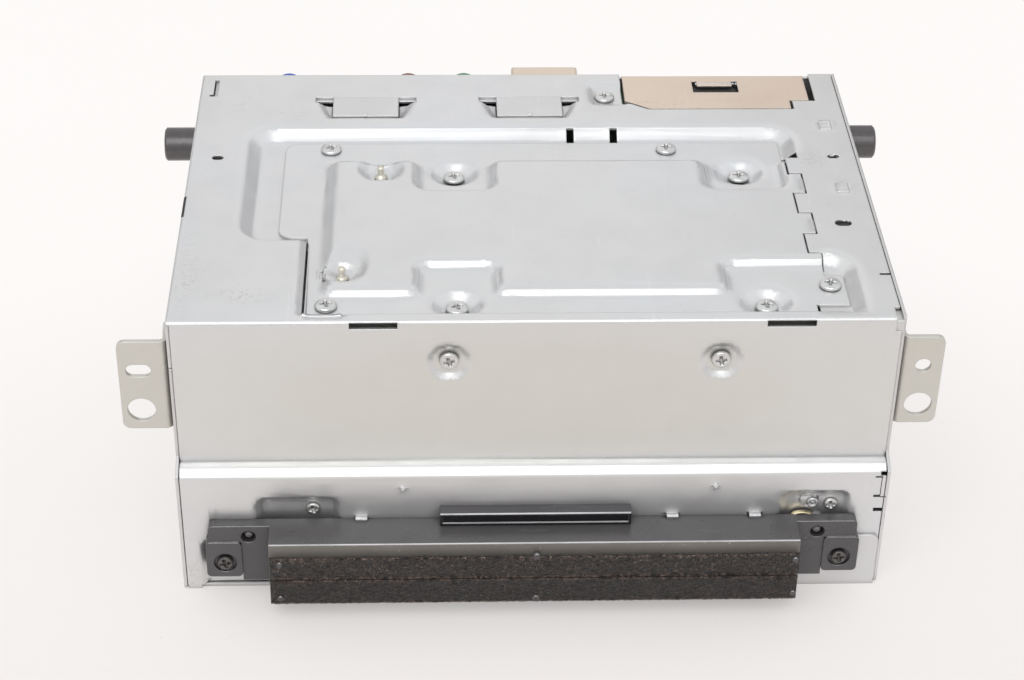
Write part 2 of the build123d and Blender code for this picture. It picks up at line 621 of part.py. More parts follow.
def make_side_panel(side):
    """A side panel, side being -1 for the left one and 1 for the right one."""
    top = FOLD_LOW_Z - EDGE_GAP if side < 0 else CASE_HEIGHT
    inner, outer = sorted((side * INNER_X, side * HALF_WIDTH))
    with BuildPart() as made:
        with BuildSketch(Plane.YZ.offset(inner)) as outline:
            with BuildLine():
                Polyline(
                    (CASE_DEPTH, 0), (CASE_DEPTH, top), (SHEET, top), (SHEET, STEP_TOP_Z + BEND_RADIUS),
                    (LOWER_FRONT, STEP_LOW_Z), (LOWER_FRONT, 0), close=True,
                )
            make_face()
            fillet(outline.vertices().sort_by(Axis.Y)[:2], BEND_RADIUS)
            for row in range(3):
                with Locations((CASE_DEPTH / 2 + 18, SIDE_VENT_Z + row * 6)):
                    Rectangle(26, 2.4, mode=Mode.SUBTRACT)
        extrude(amount=outer - inner)
        if side < 0:
            block((-INNER_X, SHEET + 1, top - SIDE_LAP),
                (-INNER_X + SHEET, CASE_DEPTH - 2, UNDER_TOP - EDGE_GAP))
            shelf_low = (-INNER_X + SHEET, 6, UNDER_TOP - SHEET - EDGE_GAP)
            block(shelf_low, (-INNER_X + SHELF_WIDTH, TONGUE_FRONT - 6, UNDER_TOP - EDGE_GAP))
        else:
            block((INNER_X - SHELF_WIDTH + 3, 34, UNDER_TOP - SHEET),
                (INNER_X, CASE_DEPTH - 20, UNDER_TOP))
        holes = [(outer, EAR_SCREW_Y, z) for z in EAR_SCREWS_Z]
        drill(holes, (1, 0, 0), SCREW_R + HOLE_GAP, 8)
        drill([(outer, BUSH_Y, BUSH_Z)], (1, 0, 0), BUSH_SPIGOT_R + RUN_GAP, 8)
        drill([(outer, y, z) for y in SIDE_SCREWS_Y for z in SIDE_SCREWS_Z], (1, 0, 0),
            SCREW_R + HOLE_GAP, 8)
    return made


def make_base_panel():
    """The bottom pan, with a lip up each side and a rounded plate in front of the case at the right."""
    with BuildPart() as made:
        block((-INNER_X, LOWER_FRONT + SHEET, 0), (INNER_X, INNER_REAR, BASE_SHEET))
        for side in (-1, 1):
            low, high = sorted((side * INNER_X, side * (INNER_X - SHEET)))
            block((low, 2, BASE_SHEET), (high, INNER_REAR, BASE_LIP))
        block((PLATE_LEFT, LOWER_FRONT - SHEET, 0), (PLATE_RIGHT, LOWER_FRONT + SHEET, BASE_SHEET))
        plate = plane_out((0, LOWER_FRONT, 0), (0, -1, 0))
        extrude(rounded(plate, PLATE_LEFT, PLATE_RIGHT, 0, PLATE_TOP_Z, 2.0), amount=SHEET)
        with BuildSketch(Plane.XY):
            with Locations((0, CASE_DEPTH / 2)):
                with GridLocations(14, 9, 5, 4):
                    Rectangle(9, 2.6)
        extrude(amount=BASE_SHEET, mode=Mode.SUBTRACT)
        drill([(WING_SCREW[0], LOWER_FRONT, WING_SCREW[1])], (0, 1, 0), SCREW_R + HOLE_GAP, 6)
        drill([(s * INNER_X, y, SIDE_SCREWS_Z[0]) for s in (-1, 1) for y in SIDE_SCREWS_Y], (1, 0, 0),
            SCREW_R + RUN_GAP, 6)
    return made


def make_rear_panel():
    """The rear panel, with a flange under the top sheet that carries two tongues, and a tuner shelf."""
    flange_top = UNDER_TOP
    with BuildPart() as made:
        block((-INNER_X, INNER_REAR, BASE_SHEET), (INNER_X, CASE_DEPTH, UNDER_TOP))
        block((-86.0, 97.0, flange_top - SHEET), (REAR_SCREW[0] - 6, INNER_REAR, flange_top))
        for centre in TONGUE_CENTRES:
            half = TONGUE_WELL_WIDTH / 2 + 2
            cut((centre - half, TONGUE_WELL_FRONT - 3, flange_top - 2),
                (centre + half, 109.2, flange_top + 1))
            half = TONGUE_WIDTH / 2
            block((centre - half, TONGUE_FRONT, flange_top),
                (centre + half, TONGUE_WELL_REAR - HOLE_GAP, CASE_HEIGHT))
            with Locations((centre, TONGUE_FRONT + 0.6, CASE_HEIGHT - 0.2)):
                Sphere(0.7)
        seat = CASE_HEIGHT - REAR_SCREW_BOWL - SHEET
        block((REAR_SCREW[0] - 5, 104.0, seat - SHEET), (TUNER_LEFT - 0.5, INNER_REAR, seat))
        shelf = CASE_HEIGHT - TUNER_HEIGHT - TUNER_BOARD
        block((TUNER_LEFT + 4, 114.0, shelf - SHEET), (TUNER_RIGHT - 4, INNER_REAR, shelf))
        drill([(REAR_SCREW[0], REAR_SCREW[1], seat)], (0, 0, 1), SCREW_R + RUN_GAP, 6)
        drill([(x, CASE_DEPTH, COAX_Z) for x in COAX_X], (0, 1, 0), COAX_R + HOLE_GAP, 6)
        cut((SHELL_LEFT - HOLE_GAP, INNER_REAR - 1, SHELL_LOW_Z - HOLE_GAP),
            (SHELL_RIGHT + HOLE_GAP, CASE_DEPTH + 1, SHELL_TOP_Z + HOLE_GAP))
        cut((PLUG_LEFT - HOLE_GAP, INNER_REAR - 1, PLUG_LOW_Z - HOLE_GAP),
            (PLUG_LEFT + PLUG_WIDTH + HOLE_GAP, CASE_DEPTH + 1, PLUG_LOW_Z + PLUG_HEIGHT + HOLE_GAP))
        with BuildSketch(Plane.XZ.offset(-CASE_DEPTH)):
            with Locations((30.0, 40.0)):
                with GridLocations(12, 5, 6, 5):
                    Rectangle(9, 2.2)
        extrude(amount=3, both=True, mode=Mode.SUBTRACT)
    return made


def make_tuner_shield():
    """The tuner's tin cover, with a window and a tab bent up in it."""
    top = CASE_HEIGHT - EDGE_GAP
    low = CASE_HEIGHT - TUNER_HEIGHT
    with BuildPart() as made:
        face = Plane.XY.offset(low)
        extrude(tuner_outline(face, TUNER_GAP, TUNER_SIDE_GAP), amount=top - low)
        hollow = tuner_outline(face, TUNER_GAP + TUNER_SHEET, TUNER_SIDE_GAP + TUNER_SHEET)
        extrude(hollow, amount=top - low - TUNER_SHEET, mode=Mode.SUBTRACT)
        cut((48.7, 112.8, top - TUNER_SHEET), (61.6, 119.2, top + 1))
        block((50.1, 116.7, top - TUNER_SHEET), (60.0, 119.3, top))
    return made


def make_tuner_board():
    low = CASE_HEIGHT - TUNER_HEIGHT - TUNER_BOARD
    with BuildPart() as made:
        block((TUNER_LEFT + 0.4, TUNER_FRONT + 0.2, low),
            (TUNER_RIGHT - 1.2, INNER_REAR, low + TUNER_BOARD))
        block((44.0, 108.0, low - 2.4), (58.0, 113.0, low))
    return made


def make_ear(side):
    """A mounting ear: a plate beside the front and a flange along the side panel."""
    reach = EAR_REACH[0] if side < 0 else EAR_REACH[1]
    hole_x = EAR_HOLE_X[0] if side < 0 else EAR_HOLE_X[1]
    outer = HALF_WIDTH + reach
    with BuildPart() as made:
        with BuildSketch(Plane.XY.offset(EAR_LOW_Z)):
            with BuildLine():
                bend = FilletPolyline(
                    (side * (HALF_WIDTH + EAR_SHEET), EAR_FLANGE_REAR),
                    (side * (HALF_WIDTH + EAR_SHEET), EAR_FRONT + EAR_SHEET),
                    (side * outer, EAR_FRONT + EAR_SHEET), radius=0.8,
                )
                offset(bend, amount=EAR_SHEET, side=Side.RIGHT if side > 0 else Side.LEFT)
            make_face()
        extrude(amount=EAR_TOP_Z - EAR_LOW_Z)
        tips = made.edges().filter_by(Axis.Y).group_by(Axis.X)[0 if side < 0 else -1]
        fillet(tips, EAR_CORNER)
        tails = made.edges().filter_by(Axis.X).group_by(Axis.Y)[-1]
        fillet(tails, EAR_CORNER)
        face = plane_out((0, EAR_FRONT, 0), (0, -1, 0))
        with BuildSketch(face):
            with Locations((side * hole_x, EAR_HOLE_Z)):
                Circle(EAR_HOLE_R)
            with Locations((side * hole_x, EAR_UPPER_Z)):
                if side < 0:
                    SlotOverall(EAR_SLOT_LENGTH, EAR_SLOT_WIDTH)
                else:
                    Circle(EAR_SMALL_HOLE_R)
        extrude(amount=-2 * EAR_SHEET, mode=Mode.SUBTRACT)
        drill([(side * HALF_WIDTH, EAR_SCREW_Y, z) for z in EAR_SCREWS_Z], (1, 0, 0),
            SCREW_R + HOLE_GAP, 6)
    return made


def make_bush(side):
    """A guide bush with a spigot through the case's side."""
    with BuildPart(plane_out((side * HALF_WIDTH, BUSH_Y, BUSH_Z), (side, 0, 0))) as made:
        Cylinder(BUSH_R, BUSH_LENGTH, align=ABOVE)
        chamfer(made.faces().sort_by(Axis.X)[0 if side < 0 else -1].edges(), 0.5)
        Cylinder(BUSH_SPIGOT_R, 2.5, align=BELOW)
    return made


def make_slot_bezel():
    """The moulded bezel: a trough with guide shelves above and below the slot, and a wing at each end."""
    slot_low, slot_high = DISC_Z - SLOT_HEIGHT / 2, DISC_Z + SLOT_HEIGHT / 2
    half_slot = SLOT_WIDTH / 2
    with BuildPart() as made:
        block((-BEZEL_HALF_WIDTH, BEZEL_FRONT, BEZEL_LOW_Z), (BEZEL_HALF_WIDTH, LOWER_FRONT, BEZEL_TOP_Z))
        fillet(made.edges().filter_by(Axis.X).filter_by_position(Axis.Y, BEZEL_FRONT - 1,
            BEZEL_FRONT + 1), 0.5)
        for low, high in ((BEZEL_LOW_Z + BEZEL_WALL, slot_low - BEZEL_SHELF),
            (slot_high + BEZEL_SHELF, BEZEL_TOP_Z - BEZEL_WALL)):
            cut((-half_slot - 1, BEZEL_FRONT + BEZEL_WALL, low), (half_slot + 1, LOWER_FRONT + 1, high))
        cut((-half_slot, BEZEL_FRONT - 1, slot_low), (half_slot, LOWER_FRONT + 1, slot_high))
        for side in (-1, 1):
            make_wing(side)
        cut((PLATE_LEFT - EDGE_GAP, LOWER_FRONT - SHEET - HOLE_GAP, -1),
            (HALF_WIDTH, LOWER_FRONT + 5, PLATE_TOP_Z + EDGE_GAP))
        drill([(s * GUIDE_HOLE[0], LOWER_FRONT, GUIDE_HOLE[1]) for s in (-1, 1)], (0, 1, 0),
            GUIDE_HOLE_R, 12)
        drill([(s * WING_SCREW[0], LOWER_FRONT, WING_SCREW[1]) for s in (-1, 1)], (0, 1, 0),
            SCREW_R + HOLE_GAP, 12)
        for s in (-1, 1):
            with Locations(plane_out((s * WING_SCREW[0], PAD_FRONT, WING_SCREW[1]), (0, -1, 0)).location):
                Cylinder(WING_SCREW_RING_R, 1.6, align=CENTRED, mode=Mode.SUBTRACT)
    return made


def make_wing(side):
    """One of the bezel's wings: a block at the top, a strip beside the trough and a pad for the screw."""
    def span(near, far):
        return sorted((side * near, side * far))

    left, right = span(BEZEL_HALF_WIDTH - 1, WING_HALF_WIDTH)
    corners = ((left, WING_BLOCK_Z), (right, WING_BLOCK_Z), (right, BEZEL_TOP_Z), (left, BEZEL_TOP_Z))
    top_block = polygon(plane_out((0, WING_FRONT, 0), (0, -1, 0)), corners, 1.2, (3 if side < 0 else 2,))
    extrude(top_block, amount=WING_FRONT - LOWER_FRONT)
    left, right = span(BEZEL_HALF_WIDTH - 1, PAD_INNER_X)
    block((left, WING_FRONT, STRIP_LOW_Z), (right, LOWER_FRONT, WING_BLOCK_Z + HOLE_GAP))
    left, right = span(PAD_INNER_X, PAD_OUTER_X)
    pad = rounded(plane_out((0, PAD_FRONT, 0), (0, -1, 0)), left, right, PAD_LOW_Z, PAD_TOP_Z, 1.2)
    extrude(pad, amount=PAD_FRONT - LOWER_FRONT)
    if side < 0:
        foot_top = SIDE_POCKET[2] - SIDE_POCKET_DEPTH - 0.8
        block((left + 1.5, LOWER_FRONT, PAD_LOW_Z + 1),
            (right - 1.5, LOWER_FRONT + SIDE_POCKET_DEPTH, foot_top))


def make_felt(low, high):
    """One of the two felt lips glued to the front of the trough."""
    with BuildPart() as made:
        block((-FELT_HALF_WIDTH, BEZEL_FRONT - FELT_THICKNESS, low), (FELT_HALF_WIDTH, BEZEL_FRONT, high))
    return made


def make_top_bar():
    """The bar on top of the bezel, with a shallow panel in its front."""
    with BuildPart() as made:
        block((BAR_LEFT, BAR_FRONT, BEZEL_TOP_Z), (BAR_RIGHT, LOWER_FRONT, BAR_TOP_Z))
        chamfer(made.edges().filter_by(Axis.X).group_by(Axis.Y)[0], 0.3)
        cut((BAR_LEFT + 0.6, BAR_FRONT - 1, BEZEL_TOP_Z + 0.8),
            (BAR_RIGHT - 0.6, BAR_FRONT + 0.3, BAR_TOP_Z - 0.8))
    return made


def make_coax_socket(x):
    """A round aerial socket: a flange on the panel, a keyed sleeve and an open bore with its pin."""
    with BuildPart(plane_out((x, CASE_DEPTH, COAX_Z), (0, 1, 0))) as made:
        Box(COAX_FLANGE, COAX_FLANGE, 1.4, align=ABOVE)
        Cylinder(COAX_R, COAX_LENGTH, align=ABOVE)
        with Locations((COAX_R * 0.8, -COAX_R * 0.6)):
            Box(1.4, 1.4, COAX_LENGTH, align=ABOVE)
        with Locations((0, 0, 2.0)):
            Cylinder(COAX_BORE_R, COAX_LENGTH, align=ABOVE, mode=Mode.SUBTRACT)
        Cylinder(0.5, COAX_LENGTH - 3, align=ABOVE)
        Cylinder(COAX_R, 6.0, align=BELOW)
    return made


def make_shell_connector():
    """The video link's metal shell, open to the rear, with its insulator inside."""
    rear = CASE_DEPTH + SHELL_LENGTH
    with BuildPart() as made:
        block((SHELL_LEFT, INNER_REAR - 8, SHELL_LOW_Z), (SHELL_RIGHT, rear, SHELL_TOP_Z))
        fillet(made.edges().filter_by(Axis.Y), 0.8)
        block((SHELL_LEFT - SOCKET_FLANGE, CASE_DEPTH, SHELL_LOW_Z - SOCKET_FLANGE),
              (SHELL_RIGHT + SOCKET_FLANGE, CASE_DEPTH + 1, SHELL_TOP_Z + SOCKET_FLANGE))
        cut((SHELL_LEFT + 0.8, CASE_DEPTH + 3, SHELL_LOW_Z + 0.8),
            (SHELL_RIGHT - 0.8, rear + 1, SHELL_TOP_Z - 0.8))
        block((SHELL_LEFT + 4, CASE_DEPTH + 3, SHELL_LOW_Z + 3.6),
            (SHELL_RIGHT - 4, rear - 5.5, SHELL_LOW_Z + 4.9))
    return made


def make_main_connector():
    """The main wiring socket: a moulded shell with two ribs between its chambers."""
    right, top, rear = PLUG_LEFT + PLUG_WIDTH, PLUG_LOW_Z + PLUG_HEIGHT, CASE_DEPTH + PLUG_LENGTH
    chamber = (PLUG_WIDTH - 4 * PLUG_WALL) / 3
    with BuildPart() as made:
        block((PLUG_LEFT, INNER_REAR - 8, PLUG_LOW_Z), (right, rear, top))
        fillet(made.edges().filter_by(Axis.Y), 1.0)
        block((PLUG_LEFT - SOCKET_FLANGE, CASE_DEPTH, PLUG_LOW_Z - SOCKET_FLANGE),
              (right + SOCKET_FLANGE, CASE_DEPTH + 1, top + SOCKET_FLANGE))
        for i in range(3):
            left = PLUG_LEFT + PLUG_WALL + i * (chamber + PLUG_WALL)
            cut((left, CASE_DEPTH + 2, PLUG_LOW_Z + PLUG_WALL),
                (left + chamber, rear + 1, top - PLUG_WALL))
    return made


def make_connector_pins():
    """Two rows of square pins in each chamber, standing on its floor."""
    chamber = (PLUG_WIDTH - 4 * PLUG_WALL) / 3
    face = plane_out((PLUG_LEFT + PLUG_WIDTH / 2, CASE_DEPTH + 2, PLUG_LOW_Z + PLUG_HEIGHT / 2),
        (0, 1, 0))
    with BuildPart(face) as made:
        with GridLocations(chamber + PLUG_WALL, PLUG_ROW_SPACING, 3, 2):
            with GridLocations(chamber / 3.5, 1, 3, 1):
                Box(PLUG_PIN, PLUG_PIN, PLUG_LENGTH - 6, align=ABOVE)
    return made


def make_hard_disk():
    with BuildPart() as made:
        block((DISK_LEFT, DISK_FRONT, DISK_TOP - DISK_HEIGHT),
            (DISK_LEFT + DISK_LENGTH, DISK_FRONT + DISK_WIDTH, DISK_TOP))
        fillet(made.edges().filter_by(Axis.Z), 2.0)
        cut((DISK_LEFT - 1, DISK_FRONT + 8, DISK_TOP - 6.5),
            (DISK_LEFT + 4, DISK_FRONT + DISK_WIDTH - 8, DISK_TOP - 1.6))
        drill([(x, y, DISK_TOP) for x, y in DISK_SCREWS], (0, 0, 1), SCREW_R + RUN_GAP,
            2 * DISK_HOLE_DEPTH)
    return made


def make_disk_board():
    """The disk's link board, hung on the lid's two studs beside the disk."""
    top = DISK_TOP - 4.0
    with BuildPart() as made:
        block((-52.0, 19.0, top - 1.2), (DISK_LEFT - 1.5, 76.0, top))
        block((DISK_LEFT - 1.5, 22.0, top - 1.2), (DISK_LEFT + 3.5, 60.0, top + 1.6))
        drill([(x, y, top) for x, y in LID_STUDS], (0, 0, 1), STUD_R + RUN_GAP, 8)
    return made


def make_lid_studs():
    floor = CASE_HEIGHT - STUD_DIMPLE_DEPTH
    top = DISK_TOP - 4.0
    with BuildPart() as made:
        for x, y in LID_STUDS:
            with Locations((x, y, top)):
                Cylinder(STUD_BODY_R, floor - SHEET - top, align=ABOVE)
                Cylinder(STUD_R, floor + STUD_TIP - top, align=ABOVE)
                Cylinder(STUD_R, 2.4, align=BELOW)
    return made


def make_front_brace():
    """The strip behind the upper front that its two screws pull on."""
    front = SHEET + FRONT_DIMPLE_DEPTH
    with BuildPart() as made:
        block((BRACE_LEFT, front, BRACE_LOW_Z), (BRACE_RIGHT, front + SHEET, BRACE_TOP_Z))
        block((BRACE_LEFT, front, BRACE_LOW_Z), (BRACE_RIGHT, front + BRACE_FLANGE, BRACE_LOW_Z + SHEET))
        for x in (BRACE_LEFT, BRACE_RIGHT - BRACE_LEG):
            block((x, front, TRAY_Z + SHEET), (x + BRACE_LEG, front + SHEET, BRACE_LOW_Z))
        drill([(x, front, z) for x, z in FRONT_SCREWS], (0, 1, 0), SCREW_R + RUN_GAP, 6)
    return made


def make_board_tray():
    """The steel tray across the case that carries the main board."""
    with BuildPart() as made:
        block((-INNER_X, TRAY_FRONT, TRAY_Z), (INNER_X, TRAY_REAR, TRAY_Z + SHEET))
        for side in (-1, 1):
            low, high = sorted((side * (INNER_X - SHEET), side * INNER_X))
            block((low, TRAY_FRONT, TRAY_Z), (high, TRAY_REAR, TRAY_Z + TRAY_LIP))
        with Locations((0, CASE_DEPTH / 2, TRAY_Z)):
            Box(84, 56, 4, align=CENTRED, mode=Mode.SUBTRACT)
        with BuildSketch(Plane.XY.offset(TRAY_Z + SHEET)):
            with Locations(*POSTS):
                RegularPolygon(POST_R, 6)
        extrude(amount=BOARD_Z - TRAY_Z - SHEET)
        drill([(x, y, TRAY_Z) for x, y in POSTS], (0, 0, 1), POST_SCREW_R + RUN_GAP)
        holes = [(s * INNER_X, y, SIDE_SCREWS_Z[1]) for s in (-1, 1) for y in SIDE_SCREWS_Y]
        drill(holes, (1, 0, 0), SCREW_R + RUN_GAP, 6)
    return made


def make_main_board():
    with BuildPart() as made:
        block((-BOARD_HALF_WIDTH, BOARD_FRONT, BOARD_Z), (BOARD_HALF_WIDTH, BOARD_REAR, BOARD_Z + BOARD))
        drill([(x, y, BOARD_Z) for x, y in POSTS], (0, 0, 1), POST_SCREW_R + HOLE_GAP, 6)
    return made


def make_heat_sink():
    """The finned block on the processor."""
    with BuildPart() as made:
        block((-24.0, 44.0, BOARD_Z + BOARD + 2.0), (16.0, 84.0, BOARD_Z + BOARD + 5.0))
        with Locations((-4.0, 64.0, BOARD_Z + BOARD + 5.0)):
            with GridLocations(4.4, 0, 9, 1):
                Box(1.6, 40.0, 7.0, align=ABOVE)
    return made


def make_processor():
    with BuildPart() as made:
        block((-19.0, 49.0, BOARD_Z + BOARD), (11.0, 79.0, BOARD_Z + BOARD + 2.0))
    return made


def make_capacitors():
    with BuildPart() as made:
        for y in (24.0, 40.0, 56.0):
            with Locations((60.0, y, BOARD_Z + BOARD)):
                Cylinder(5.0, 12.5, align=ABOVE)
    return made


def make_deck_base():
    """The deck's pan, with its side walls, rod posts and roller bearings."""
    floor = DECK_FLOOR_Z + DECK_SHEET
    rods = [SPINDLE_Y + s * ROD_SPACING / 2 for s in (-1, 1)]
    with BuildPart() as made:
        block((-DECK_HALF_WIDTH, DECK_FRONT, DECK_FLOOR_Z), (DECK_HALF_WIDTH, DECK_REAR, floor))
        for side in (-1, 1):
            low, high = sorted((side * (DECK_HALF_WIDTH - DECK_SHEET), side * DECK_HALF_WIDTH))
            block((low, DECK_FRONT, floor), (high, DECK_REAR, DECK_TOP_Z - DECK_SHEET))
        for y in rods:
            block((ROD_LEFT, y - 3, floor), (ROD_LEFT + 4, y + 3, ROD_Z + 2.6))
        for side in (-1, 1):
            low, high = sorted((side * (ROLLER_HALF_LENGTH + 2), side * (ROLLER_HALF_LENGTH + 5)))
            block((low, ROLLER_Y - 3, floor), (high, ROLLER_Y + 3, ROLLER_Z + 3))
        lead_y = SPINDLE_Y + LEAD_Y_OFFSET
        block((DECK_HALF_WIDTH - 6, lead_y - 2.2, floor),
            (DECK_HALF_WIDTH - 3, lead_y + 2.2, ROD_Z + 2.4))
        drill([(ROD_LEFT, y, ROD_Z) for y in rods], (1, 0, 0), ROD_R + HOLE_GAP, 10)
        drill([(DECK_HALF_WIDTH, y, ROD_Z) for y in rods], (1, 0, 0), ROD_R + HOLE_GAP, 10)
        drill([(DECK_HALF_WIDTH - 4.5, lead_y, ROD_Z)], (1, 0, 0), LEAD_R + RUN_GAP, 6)
        drill([(s * (ROLLER_HALF_LENGTH + 3.5), ROLLER_Y, ROLLER_Z) for s in (-1, 1)], (1, 0, 0),
            ROLLER_SHAFT_R + RUN_GAP, 6)
        drill([(-DECK_HALF_WIDTH, ROLLER_Y, ROLLER_Z)], (1, 0, 0), ROLLER_SHAFT_R + 1, 6)
        drill([(-DECK_HALF_WIDTH, *pinion_centre())], (1, 0, 0), SPINDLE_R + HOLE_GAP, 6)
        with Locations(plane_out((-DECK_HALF_WIDTH, *idler_centre()), (-1, 0, 0)).location):
            Cylinder(ROLLER_SHAFT_R, GEAR_GAP + GEAR_WIDTH + 0.8, align=ABOVE)
            with Locations((0, 0, GEAR_GAP + GEAR_WIDTH + 0.4)):
                Cylinder(ROLLER_SHAFT_R + 0.8, 0.4, align=ABOVE)
    return made


def make_deck_top():
    """The deck's top plate, with a window over the clamp arm and one over the levers."""
    with BuildPart() as made:
        block((-DECK_HALF_WIDTH, DECK_FRONT, DECK_TOP_Z - DECK_SHEET),
            (DECK_HALF_WIDTH, DECK_REAR, DECK_TOP_Z))
        with BuildSketch(Plane.XY.offset(DECK_TOP_Z)):
            with Locations((-48.0, SPINDLE_Y), (48.0, SPINDLE_Y)):
                SlotOverall(44, 18, rotation=90)
        extrude(amount=-2 * DECK_SHEET, mode=Mode.SUBTRACT)
        under = DECK_TOP_Z - DECK_SHEET
        extrude(rounded(Plane.XY.offset(under), -22.0, 22.0, SPINDLE_Y - 24, ARM_HINGE_Y - 10, 4.0),
            amount=2, mode=Mode.SUBTRACT)
        for side in (-1, 1):
            low, high = sorted((side * (ARM_HALF_WIDTH + 0.4), side * (ARM_HALF_WIDTH + 1.6)))
            block((low, ARM_HINGE_Y - 3, ARM_HINGE_Z - 2.5), (high, ARM_HINGE_Y + 3, under))
        drill([(0, ARM_HINGE_Y, ARM_HINGE_Z)], (1, 0, 0), ARM_PIN_R + RUN_GAP, 60)
        for x in (-LEVER_PIVOT[0], LEVER_PIVOT[0]):
            with Locations((x, LEVER_PIVOT[1], under)):
                Cylinder(LEVER_STUD_R, under - LEVER_Z + HOLE_GAP + 0.8, align=BELOW)
            with Locations((x, LEVER_PIVOT[1], LEVER_Z - HOLE_GAP)):
                Cylinder(LEVER_STUD_R + 1.2, 0.8, align=BELOW)
    return made


def make_disc_guide():
    """The moulded guide under the top plate that the disc slides along."""
    with BuildPart() as made:
        with BuildSketch(Plane.YZ.offset(-ROLLER_HALF_LENGTH - 4)):
            with BuildLine():
                Polyline(
                    (DECK_FRONT, DECK_TOP_Z - DECK_SHEET), (DECK_FRONT, GUIDE_LOW_Z + 2.5),
                    (DECK_FRONT + 4, GUIDE_LOW_Z),
                    (DECK_FRONT + GUIDE_DEPTH - 2, GUIDE_LOW_Z),
                    (DECK_FRONT + GUIDE_DEPTH, GUIDE_LOW_Z + 2),
                    (DECK_FRONT + GUIDE_DEPTH, DECK_TOP_Z - DECK_SHEET), close=True,
                )
            make_face()
        extrude(amount=2 * ROLLER_HALF_LENGTH + 8)
        cut((-ROLLER_HALF_LENGTH, DECK_FRONT + 1.5, GUIDE_LOW_Z + 4),
            (ROLLER_HALF_LENGTH, DECK_FRONT + GUIDE_DEPTH - 1.5, DECK_TOP_Z))
    return made


def make_dampers():
    """Rubber dampers, waisted, between the base panel and the deck."""
    middle = (BASE_SHEET + DECK_FLOOR_Z) / 2
    with BuildPart() as made:
        for x, y in DAMPERS:
            with Locations((x, y, middle)):
                Cone(DAMPER_R, DAMPER_R - 0.9, middle - BASE_SHEET, align=BELOW)
                Cone(DAMPER_R - 0.9, DAMPER_R, DECK_FLOOR_Z - middle, align=ABOVE)
    return made


def make_spindle_motor():
    floor = DECK_FLOOR_Z + DECK_SHEET
    with BuildPart(Plane.XY.offset(floor)) as made:
        with Locations((0, SPINDLE_Y)):
            Cylinder(SPINDLE_MOTOR_R, SPINDLE_MOTOR_HEIGHT, align=ABOVE)
            Cylinder(SPINDLE_R + RUN_GAP, 3 * SPINDLE_MOTOR_HEIGHT, align=CENTRED, mode=Mode.SUBTRACT)
    return made


def make_turntable():
    """The turntable, the hub that centres the disc and the spindle below them, in one piece."""
    top = DISC_Z - DISC_THICKNESS / 2
    low = DECK_FLOOR_Z + DECK_SHEET + 0.4
    with BuildPart(Plane.XY.offset(top)) as made:
        with Locations((0, SPINDLE_Y)):
            Cylinder(TURNTABLE_R, TURNTABLE_HEIGHT, align=BELOW)
            Cone(HUB_R, HUB_R - 1.2, HUB_HEIGHT, align=ABOVE)
            Cylinder(SPINDLE_R, top - low, align=BELOW)
    return made


def make_guide_rods():
    with BuildPart(Plane.YZ.offset(ROD_LEFT - 1)) as made:
        with Locations(*[(SPINDLE_Y + s * ROD_SPACING / 2, ROD_Z) for s in (-1, 1)]):
            Cylinder(ROD_R, DECK_HALF_WIDTH - ROD_LEFT + 1.5, align=ABOVE)
    return made


def make_sled():
    """The pickup sled on its two rods, with a nut arm on the lead screw."""
    low_y, high_y = SPINDLE_Y - ROD_SPACING / 2 - 3, SPINDLE_Y + ROD_SPACING / 2 + 3
    left = SLED_HOME_X - SLED_LENGTH / 2
    lead_y = SPINDLE_Y + LEAD_Y_OFFSET
    with BuildPart() as made:
        block((left, low_y, SLED_LOW_Z), (left + SLED_LENGTH, high_y, SLED_LOW_Z + SLED_HEIGHT))
        fillet(made.edges().filter_by(Axis.Z), 2.0)
        block((left + 6, high_y - 1, SLED_LOW_Z), (left + 12, lead_y + 2.4, SLED_LOW_Z + SLED_HEIGHT))
        cut((left - 1, SPINDLE_Y - 12, SLED_LOW_Z - 1),
            (left + 3, SPINDLE_Y + 12, SLED_LOW_Z + SLED_HEIGHT + 1))
        drill([(left, y, ROD_Z) for y in (SPINDLE_Y - ROD_SPACING / 2, SPINDLE_Y + ROD_SPACING / 2)],
              (1, 0, 0), ROD_R + RUN_GAP, 3 * SLED_LENGTH)
        drill([(left + 9, lead_y, ROD_Z)], (1, 0, 0), LEAD_R + RUN_GAP, 20)
    return made


def make_lens():
    with BuildPart(Plane.XY.offset(SLED_LOW_Z + SLED_HEIGHT)) as made:
        with Locations((SLED_HOME_X, SPINDLE_Y)):
            Cylinder(LENS_R, 0.5, align=ABOVE)
            with Locations((0, 0, 0.5)):
                Cylinder(LENS_R - 1.0, 0.3, align=ABOVE)
    return made


def make_lead_screw():
    lead_y = SPINDLE_Y + LEAD_Y_OFFSET
    with BuildPart(Plane.YZ.offset(ROD_LEFT - 3)) as made:
        with Locations((lead_y, ROD_Z)):
            Cylinder(LEAD_R, DECK_HALF_WIDTH - ROD_LEFT + 0.6, align=ABOVE)
    return made


def make_sled_motor():
    lead_y = SPINDLE_Y + LEAD_Y_OFFSET
    floor = DECK_FLOOR_Z + DECK_SHEET
    with BuildPart() as made:
        with Locations(plane_out((ROD_LEFT, lead_y, ROD_Z), (1, 0, 0)).location):
            Cylinder(SLED_MOTOR_R, SLED_MOTOR_LENGTH, align=BELOW)
        block((ROD_LEFT - SLED_MOTOR_LENGTH, lead_y - 2, floor), (ROD_LEFT, lead_y + 2, ROD_Z))
        drill([(ROD_LEFT, lead_y, ROD_Z)], (1, 0, 0), LEAD_R + RUN_GAP, 8)
    return made


def idler_centre():
    reach = MODULE * (ROLLER_TEETH + IDLER_TEETH) / 2 + MESH_GAP
    turn = radians(IDLER_DIRECTION)
    return ROLLER_Y + reach * cos(turn), ROLLER_Z + reach * sin(turn)


